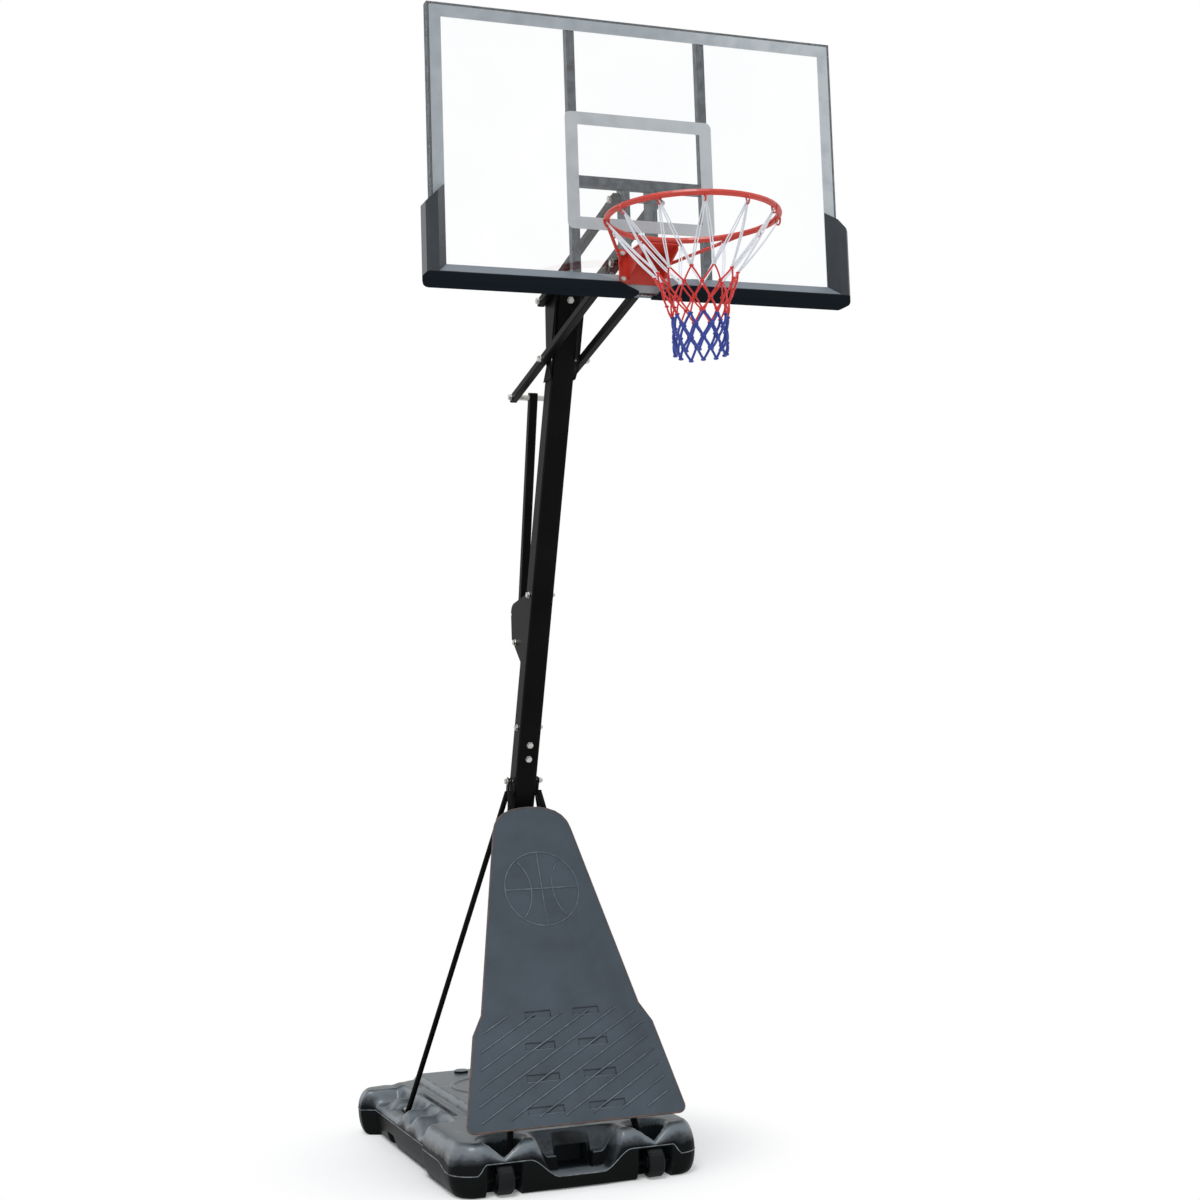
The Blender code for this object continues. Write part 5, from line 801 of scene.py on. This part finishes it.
def panel_rim(inset):
    """Right half of the rim from the foot up to the crown, mirrored and drawn in to the middle."""
    corner = PANEL_SIDE[0][1] - PANEL_CORNER
    half = [(corner * i / 20, 0.0) for i in range(20)]
    for step in range(7):
        turn = math.radians(-90 + 98 * step / 6)
        side = corner + PANEL_CORNER * math.cos(turn)
        half.append((side, PANEL_CORNER + PANEL_CORNER * math.sin(turn)))
    half += [(x, y) for y, x in PANEL_SIDE[1:]]
    shoulder_y, shoulder = PANEL_SIDE[-1]
    slope = (PANEL_SIDE[-2][1] - shoulder) / (shoulder_y - PANEL_SIDE[-2][0])
    rise = (PANEL_TOP - shoulder_y) * CROWN_SLOPE
    ends = (
        (shoulder, shoulder_y), (shoulder - slope * rise, shoulder_y + rise),
        (shoulder * CROWN_FLAT, PANEL_TOP), (0.0, PANEL_TOP),
    )
    for step in range(1, 11):
        t = step / 10
        shares = ((1 - t) ** 3, 3 * t * (1 - t) ** 2, 3 * t * t * (1 - t), t**3)
        half.append([sum(share * end[axis] for share, end in zip(shares, ends)) for axis in (0, 1)])
    middle = PANEL_TOP * RIM_MIDDLE
    path = []
    for x, y in half + [(-x, y) for x, y in reversed(half[1:-1])]:
        pull = 1 - inset / math.hypot(x, y - middle)
        path.append(on_panel(x * pull, middle + (y - middle) * pull, -RIM_SUNK))
    return path


print("panel foot", PANEL_FOOT, "crown", on_panel(0, PANEL_TOP))

# %% Ribs, slots and ball
RIB_LEAN = math.radians(29)
RIB_ALONG = Vector((math.cos(RIB_LEAN), math.sin(RIB_LEAN)))
RIB_ACROSS = Vector((-RIB_ALONG.y, RIB_ALONG.x))
RIBS, RIB_STEP, RIB_MARGIN, RIB_TOP, RIB_SAMPLE = 12, 0.0444, 0.029, 0.357, 0.003
SLOTS, SLOT_X, SLOT_Y, SLOT_HALF, SLOT_RISE = 4, 0.082, 0.3545, 0.044, 0.012
SLOT_OUTWARD, SLOT_DOWN, SLOT_WIDER = 0.0068, 0.101, 0.0055
BALL_Y, BALL_RADIUS, BALL_BOW, BALL_BOW_CENTRE = 0.775, 0.128, 1.15, 1.25


def rib_ends(index):
    """First and last place of one diagonal rib inside the panel's lower field."""
    middle = Vector((0, RIB_TOP / 2)) + RIB_ACROSS * RIB_STEP * (index - (RIBS - 1) / 2)
    inside = []
    for step in range(-200, 201):
        place = middle + RIB_ALONG * step * RIB_SAMPLE
        beside = abs(place.x) < panel_half(place.y) - RIB_MARGIN
        if RIB_MARGIN < place.y < RIB_TOP and beside:
            inside.append(place)
    return (inside[0], inside[-1]) if len(inside) >= 8 else None


def slot_corners(row, side):
    """Corners of one shallow slot, anticlockwise from its lower left."""
    x = side * (SLOT_X + SLOT_OUTWARD * row)
    y = SLOT_Y - SLOT_DOWN * row
    half, rise = SLOT_HALF + SLOT_WIDER * row, SLOT_RISE
    return [(x - half, y - rise), (x + half, y - rise), (x + half, y + rise), (x - half, y + rise)]


def ball_paths():
    """Circle, upright, level line and two side arcs of a plain ball."""
    y, radius = BALL_Y, BALL_RADIUS
    around = [math.radians(360 * i / 64) for i in range(64)]
    paths = [([(radius * math.cos(a), y + radius * math.sin(a)) for a in around], True)]
    paths.append(([(0, y - radius), (0, y + radius)], False))
    paths.append(([(-radius, y), (radius, y)], False))
    bow = radius * BALL_BOW
    centre = bow * BALL_BOW_CENTRE
    swing = [math.radians(-41 + 82 * i / 24) for i in range(25)]
    for side in (-1, 1):
        arc = [(side * (centre - bow * math.cos(a)), y + bow * math.sin(a)) for a in swing]
        paths.append((arc, False))
    return paths


# %% Crest lines, shadow lines and rim
# Each pair is a line's lift off the panel's face and its radius.
RIB_CREST, RIB_SHADE, RIB_SHADE_DROP = (0.0012, 0.0021), (-0.0004, 0.0010), -0.0042
BALL_CREST, BALL_SHADE, BALL_SHADE_SHIFT = (0.0012, 0.0018), (-0.0004, 0.0009), (0.0012, -0.0030)
SLOT_CREST, SLOT_SHADE = (-0.0002, 0.0013), (-0.0014, 0.0022)
# Each pair is a line's inset from the rim and its radius.
RIM_EDGE, RIM_SHADE = (0.0016, 0.0022), (0.0062, 0.0012)


def draw(tubes, places, lift, radius, sides=6, closed=False):
    """Line along places on the panel's face, lifted off it or sunk."""
    tubes.sweep([on_panel(x, y, lift) for x, y in places], radius, sides=sides, closed=closed)


def shifted(places, x_shift, y_shift):
    return [(x + x_shift, y + y_shift) for x, y in places]


crests, shadows, rim = Tubes(), Tubes(), Tubes()
for ends in filter(None, map(rib_ends, range(RIBS))):
    draw(crests, ends, *RIB_CREST, sides=8)
    draw(shadows, shifted(ends, 0, RIB_SHADE_DROP), *RIB_SHADE)
for path, closed in ball_paths():
    draw(crests, path, *BALL_CREST, sides=8, closed=closed)
    draw(shadows, shifted(path, *BALL_SHADE_SHIFT), *BALL_SHADE, closed=closed)
for row in range(SLOTS):
    for side in (-1, 1):
        low_left, low_right, high_right, high_left = slot_corners(row, side)
        draw(shadows, (low_left, high_left, high_right, low_right), *SLOT_SHADE)
        draw(crests, (low_left, low_right), *SLOT_CREST)
rim.sweep(panel_rim(RIM_EDGE[0]), RIM_EDGE[1], sides=8, closed=True)
shadows.sweep(panel_rim(RIM_SHADE[0]), RIM_SHADE[1], sides=6, closed=True)
# Painted light: crest lines are painted highlights, shadow lines painted shade, the rim's brown a
# painted reflection of the ground.
for tubes, name, dark, light in (
    (crests, "panel_crests", "4c555e", "6f7983"),
    (shadows, "panel_shadow_lines", "262c31", "2f353b"),
    (rim, "panel_rim", "453c38", "735545"),
):
    piece = tubes.build(name, painted_line_plastic(f"{name}_polyethylene", dark, light), "stand")

# %% [markdown]
# The hoop is powder coated in orange-red over its welds. The board is clear polycarbonate: a thin
# sheet that passes almost all light. Its index is 1.58, and a faint cool tint and a little surface
# haze keep it from vanishing.

# %% Red powder coat and clear polycarbonate
RED = clouded(
    "red_powder_coated_steel", 0.06, 4.0, (0.25, "b82c20"), (0.75, "cc3d2e"), Roughness=0.36
)
CLEAR = clouded(
    "clear_polycarbonate", 0.25, 3.0, (0.2, "fafcfd"), (0.8, "ffffff"),
    Roughness=0.02, IOR=1.58, Transmission_Weight=1.0,
)
dress(RED, "rim_ring", "rim_bracket")
dress(CLEAR, "backboard_sheet")

# %% [markdown]
# The border and the shooter's square are screen printed on the sheet in pale grey. Ink is a film
# a few hundredths of a millimetre thick, so each is a flat frame just off the sheet's face. The
# border stops 7 mm short of the sheet's edge, where the dark rail behind shows through, and the
# rail also darkens the ink over it a little.

# %% Printed border and shooter's square
sheet_low, sheet_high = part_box("backboard_sheet")
INK_LIFT, BORDER_INSET = 0.00012, 0.007
BORDER_CORNER, SQUARE_CORNER, TIGHT_CORNER = 0.004, 0.018, 0.001
BORDER_WINDOW = ((-0.589, 2.716), (0.589, 3.428))
SQUARE_EDGE, SQUARE_WINDOW = ((-0.228, 2.844), (0.228, 3.189)), ((-0.190, 2.880), (0.190, 3.151))


def rounded_loop(low, high, corner, steps=6):
    """Corner-rounded rectangle in x and z as a list of points, anticlockwise from the player."""
    points = []
    for index, (x, z) in enumerate(((1, 1), (-1, 1), (-1, -1), (1, -1))):
        centre_x = (high[0] - corner) if x > 0 else (low[0] + corner)
        centre_z = (high[1] - corner) if z > 0 else (low[1] + corner)
        for step in range(steps + 1):
            turn = math.radians(90 * index + 90 * step / steps)
            points.append((centre_x + corner * math.cos(turn), centre_z + corner * math.sin(turn)))
    return points


def printed_frame(name, outer, inner, material):
    """Flat ring of ink between two loops with the same number of points."""
    y = sheet_low.y - INK_LIFT
    count = len(outer)
    points = [(x, y, z) for x, z in outer + inner]
    faces = [(i, (i + 1) % count, count + (i + 1) % count, count + i) for i in range(count)]
    mesh = bpy.data.meshes.new(name)
    mesh.from_pydata(points, [], faces)
    mesh.materials.append(material)
    made = link_object(name, mesh)
    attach(made, "board")
    print(name, count, "faces")


def screen_ink(name, dark, light, paler):
    """Ink with a faint weave, painted paler toward the right as a painted reflection of the open
    sky.
    """
    made, tree, shader = start_finish(name, Roughness=0.5, Specular_IOR_Level=0.3)
    weave = noise(tree, size=0.05, detail=4.0)
    # Painted reflection: the ink turns paler toward +X.
    sky = mapped(tree, axis_of(tree, position(tree), "X"), -0.1, 0.5, to_high=0.45)
    share = maths(tree, "ADD", weave, sky)
    drive(tree, shader, Base_Color=ramp(tree, share, (0.3, dark), (0.7, light), (1.0, paler)))
    return made


printed_frame(
    "printed_border",
    rounded_loop(
        (sheet_low.x + BORDER_INSET, sheet_low.z + BORDER_INSET),
        (sheet_high.x - BORDER_INSET, sheet_high.z - BORDER_INSET),
        BORDER_CORNER,
    ),
    rounded_loop(*BORDER_WINDOW, TIGHT_CORNER),
    screen_ink("grey_screen_ink_over_rails", "989ea2", "a6acb0", "b8bdc0"),
)
printed_frame(
    "printed_square",
    rounded_loop(*SQUARE_EDGE, SQUARE_CORNER),
    rounded_loop(*SQUARE_WINDOW, TIGHT_CORNER),
    screen_ink("pale_grey_screen_ink", "aaaeb1", "b6babd", "b8bcbf"),
)

# %% [markdown]
# The net is braided polyester cord about 5 mm thick. Twelve loops hang on the hoop's hooks. The
# white cords run doubled in one long reach down to the first knots, then the red and the blue
# cords part and meet their other neighbours row by row, which makes the diamonds. It could be a
# single lattice with a wireframe modifier, but sweeping each leg as its own tube keeps the cords
# round and lets a braid pattern follow them. A breath of wind holds the net a little to one side,
# and no two knots hang quite level.

# %% Net sizes
RING_CENTRE = Vector((0.0, -1.742, 2.788))
RING_RADIUS = 0.2335
HOOKS = 12
NET_TOP = 2.7755
ROW_HEIGHTS = (NET_TOP, 2.630, 2.592, 2.552, 2.512, 2.478, 2.444, 2.410)
BLUE_ROW = 4
NET_PROFILE = ((2.400, 0.068), (2.540, 0.076), (2.630, 0.115), (NET_TOP, RING_RADIUS))
DYE_LOW, BLUE_TOP, RED_TOP, DYE_HIGH = 2.39, 2.512, 2.628, 2.79
WHITE_CORD, RED_CORD, BLUE_CORD, DOUBLED = 0.0019, 0.0025, 0.0036, 0.0036
RED_KNOT, BLUE_KNOT = (0.0040, 0.0026), (0.0044, 0.0032)
SWAY, KNOT_SHAKE, WHITE_SLACK, SLACK, KNOT_FLAT = 0.012, 0.0035, 0.006, 0.003, 0.85
BRAID_LEAN, BRAID_STITCH = math.radians(40), 0.003
shake = random.Random(11)


def shaken():
    return Vector([shake.uniform(-KNOT_SHAKE, KNOT_SHAKE) for axis in range(3)])


KNOT_SHIFTS = [[shaken() for index in range(2 * HOOKS)] for row in ROW_HEIGHTS]


def net_radius(z):
    for (low, narrow), (high, wide) in zip(NET_PROFILE, NET_PROFILE[1:]):
        if z <= high:
            return narrow + (wide - narrow) * (z - low) / (high - low)
    return RING_RADIUS


def knot(row, index):
    """Place of a knot: index counts half steps round the ring."""
    z = ROW_HEIGHTS[row]
    turn = math.pi / HOOKS * (index + 1)
    reach = net_radius(z)
    place = Vector((reach * math.cos(turn), RING_CENTRE.y + reach * math.sin(turn), z))
    if row:
        place += KNOT_SHIFTS[row][index % (2 * HOOKS)]
        place.x += SWAY * (NET_TOP - z) / (NET_TOP - ROW_HEIGHTS[-1])
    return place


print("knots from", knot(0, 0), "down to", knot(len(ROW_HEIGHTS) - 1, 0))

# %% Braided cord
def braided_cord():
    """White, red and blue dyed lengths; the braid's stitches are 1.5 mm and are drawn at 3 mm."""
    made, tree, shader = start_finish("braided_polyester_cord", Roughness=0.85, Sheen_Weight=0.3)
    span = mapped(tree, axis_of(tree, position(tree), "Z"), DYE_LOW, DYE_HIGH)
    starts = [(height - DYE_LOW) / (DYE_HIGH - DYE_LOW) for height in (DYE_LOW, BLUE_TOP, RED_TOP)]
    stops = tuple(zip(starts, ("2b3f9c", "d8261f", "e6e8ee")))
    dye = add_node(tree, "ShaderNodeValToRGB", {"Fac": span}, stops)
    dye.color_ramp.interpolation = "CONSTANT"
    along = add_node(tree, "ShaderNodeTexCoord").outputs["UV"]
    strands = []
    for lean in (BRAID_LEAN, -BRAID_LEAN):
        turned = add_node(tree, "ShaderNodeMapping", {"Vector": along, "Rotation": (0, 0, lean)})
        waves = {"Vector": turned.outputs["Vector"], "Scale": 0.314 / BRAID_STITCH}
        strands.append(add_node(tree, "ShaderNodeTexWave", waves).outputs["Fac"])
    drive(tree, shader, Base_Color=dye.outputs["Color"])
    bump(tree, shader, maths(tree, "MAXIMUM", *strands), strength=0.6, distance=0.0008)
    return made


# %% Knotted net
def cord_leg(net, row, top, low):
    """One cord from a knot to the next: doubled and thin in the long white reach."""
    outward = (top + low) / 2 - Vector((0, RING_CENTRE.y, (top.z + low.z) / 2))
    slack = outward.normalized() * (WHITE_SLACK if row == 0 else SLACK)
    sideways = (low - top).cross(outward).normalized()
    radius = WHITE_CORD if row == 0 else RED_CORD if row < BLUE_ROW else BLUE_CORD
    for offset in (-DOUBLED, DOUBLED) if row == 0 else (0.0,):
        path = []
        for step in range(9):
            t = step / 8
            bow = math.sin(math.pi * t)
            path.append(top.lerp(low, t) + slack * bow + sideways * offset * (0.35 + 0.65 * bow))
        net.sweep(path, radius)


def knot_loop(net, row, centre):
    """Short ring of cord laid round a crossing."""
    outward = (centre - Vector((0, RING_CENTRE.y, centre.z))).normalized()
    aside = outward.cross(Vector((0, 0, 1)))
    size, radius = RED_KNOT if row < BLUE_ROW else BLUE_KNOT
    path = []
    for step in range(10):
        turn = 2 * math.pi * step / 10
        around = aside * math.cos(turn) + outward * KNOT_FLAT * math.sin(turn)
        path.append(centre + size * around)
    net.sweep(path, radius, closed=True)


net = Tubes()
for row in range(len(ROW_HEIGHTS) - 1):
    for index in range(HOOKS):
        here = 2 * index + row % 2
        for way in (-1, 1):
            cord_leg(net, row, knot(row, here), knot(row + 1, here + way))
for row in range(1, len(ROW_HEIGHTS)):
    for index in range(HOOKS):
        knot_loop(net, row, knot(row, 2 * index + row % 2))
net_piece = net.build("knotted_net", braided_cord(), "board")
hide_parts("net")

# %% [markdown]
# A plain pale studio: a floor that keeps the stand's shadow near it and turns to plain white
# further out, a white surround, and soft daylight from above with a broad lamp at the left.

# %% Floor
FLOOR_HALF, FLOOR_HEIGHT, SHADED_TO, WHITE_FROM = 30.0, -0.0005, 0.45, 1.0


def seen_rays(tree):
    """1 for rays that see the surround: straight, in a reflection or through the clear board."""
    rays = add_node(tree, "ShaderNodeLightPath").outputs
    direct = maths(tree, "MAXIMUM", rays["Is Camera Ray"], rays["Is Glossy Ray"])
    return maths(tree, "MAXIMUM", direct, rays["Is Transmission Ray"])


def studio_paper():
    made, tree, shader = start_finish(
        "pale_studio_paper", Roughness=0.9, Base_Color=linear("f6f6f6"), Specular_IOR_Level=0.0
    )
    away = add_node(tree, "ShaderNodeVectorMath", {0: position(tree)}, operation="LENGTH")
    far = mapped(tree, away.outputs["Value"], SHADED_TO, WHITE_FROM, kind="SMOOTHSTEP")
    share = maths(tree, "MULTIPLY", far, seen_rays(tree))
    glow = add_node(tree, "ShaderNodeEmission", {"Color": (1, 1, 1, 1), "Strength": 1.0})
    inputs = {0: share, 1: shader.outputs["BSDF"], 2: glow.outputs["Emission"]}
    both = add_node(tree, "ShaderNodeMixShader", inputs)
    tree.links.new(both.outputs["Shader"], tree.nodes["Material Output"].inputs["Surface"])
    return made


corners = ((-1, -1), (1, -1), (1, 1), (-1, 1))
points = [(x * FLOOR_HALF, y * FLOOR_HALF, FLOOR_HEIGHT) for x, y in corners]
mesh = bpy.data.meshes.new("studio_floor")
mesh.from_pydata(points, [], [(0, 1, 2, 3)])
mesh.materials.append(studio_paper())
floor = link_object("studio_floor", mesh)

# %% Daylight and surround
world = bpy.data.worlds.new("studio")
world.use_nodes = True
bpy.context.scene.world = world
sky = world.node_tree
daylight = sky.nodes["Background"]
daylight.inputs["Color"].default_value = (0.93, 0.97, 1.0, 1.0)
daylight.inputs["Strength"].default_value = 0.62
white = add_node(sky, "ShaderNodeBackground", {"Color": (1, 1, 1, 1), "Strength": 1.0})
inputs = {0: seen_rays(sky), 1: daylight.outputs["Background"], 2: white.outputs["Background"]}
both = add_node(sky, "ShaderNodeMixShader", inputs)
sky.links.new(both.outputs["Shader"], sky.nodes["World Output"].inputs["Surface"])
lamp = bpy.data.lights.new("soft_sun", "SUN")
lamp.energy = 1.6
lamp.angle = math.radians(20)
sun = link_object("soft_sun", lamp)
sun.rotation_euler = (math.radians(24), math.radians(-16), 0)
print("world and lamp set")

# %% [markdown]
# The camera stands where the photographer did: low, to the left of the stand, with a long lens
# and a slight tilt. Its place and angles were fitted to the hoop, the board and the level ground.

# %% Camera
YAW, PITCH, ROLL = (math.radians(v) for v in (-20.389, 5.792, -1.87))
FOCAL_PIXELS, CENTRE_ROW, IMAGE = 1851.75, 553.75, 1200
CAMERA_PLACE = (-1.965, -6.227, 1.387)
level = math.cos(PITCH)
ahead = Vector((-math.sin(YAW) * level, math.cos(YAW) * level, math.sin(PITCH)))
right = Vector((math.cos(YAW), math.sin(YAW), 0))
above = right.cross(ahead)
across = math.cos(ROLL) * right + math.sin(ROLL) * above
upright = -math.sin(ROLL) * right + math.cos(ROLL) * above
lens = bpy.data.cameras.new("photographer")
lens.sensor_width = 36
lens.lens = FOCAL_PIXELS / IMAGE * lens.sensor_width
lens.shift_y = (CENTRE_ROW - IMAGE / 2) / IMAGE
lens.clip_end = 100
camera = link_object("photographer", lens)
turn = Matrix((across, upright, -ahead)).transposed().to_4x4()
camera.matrix_world = Matrix.Translation(CAMERA_PLACE) @ turn
bpy.context.scene.camera = camera
bpy.context.scene.view_settings.view_transform = "Standard"
print("camera at", camera.location)
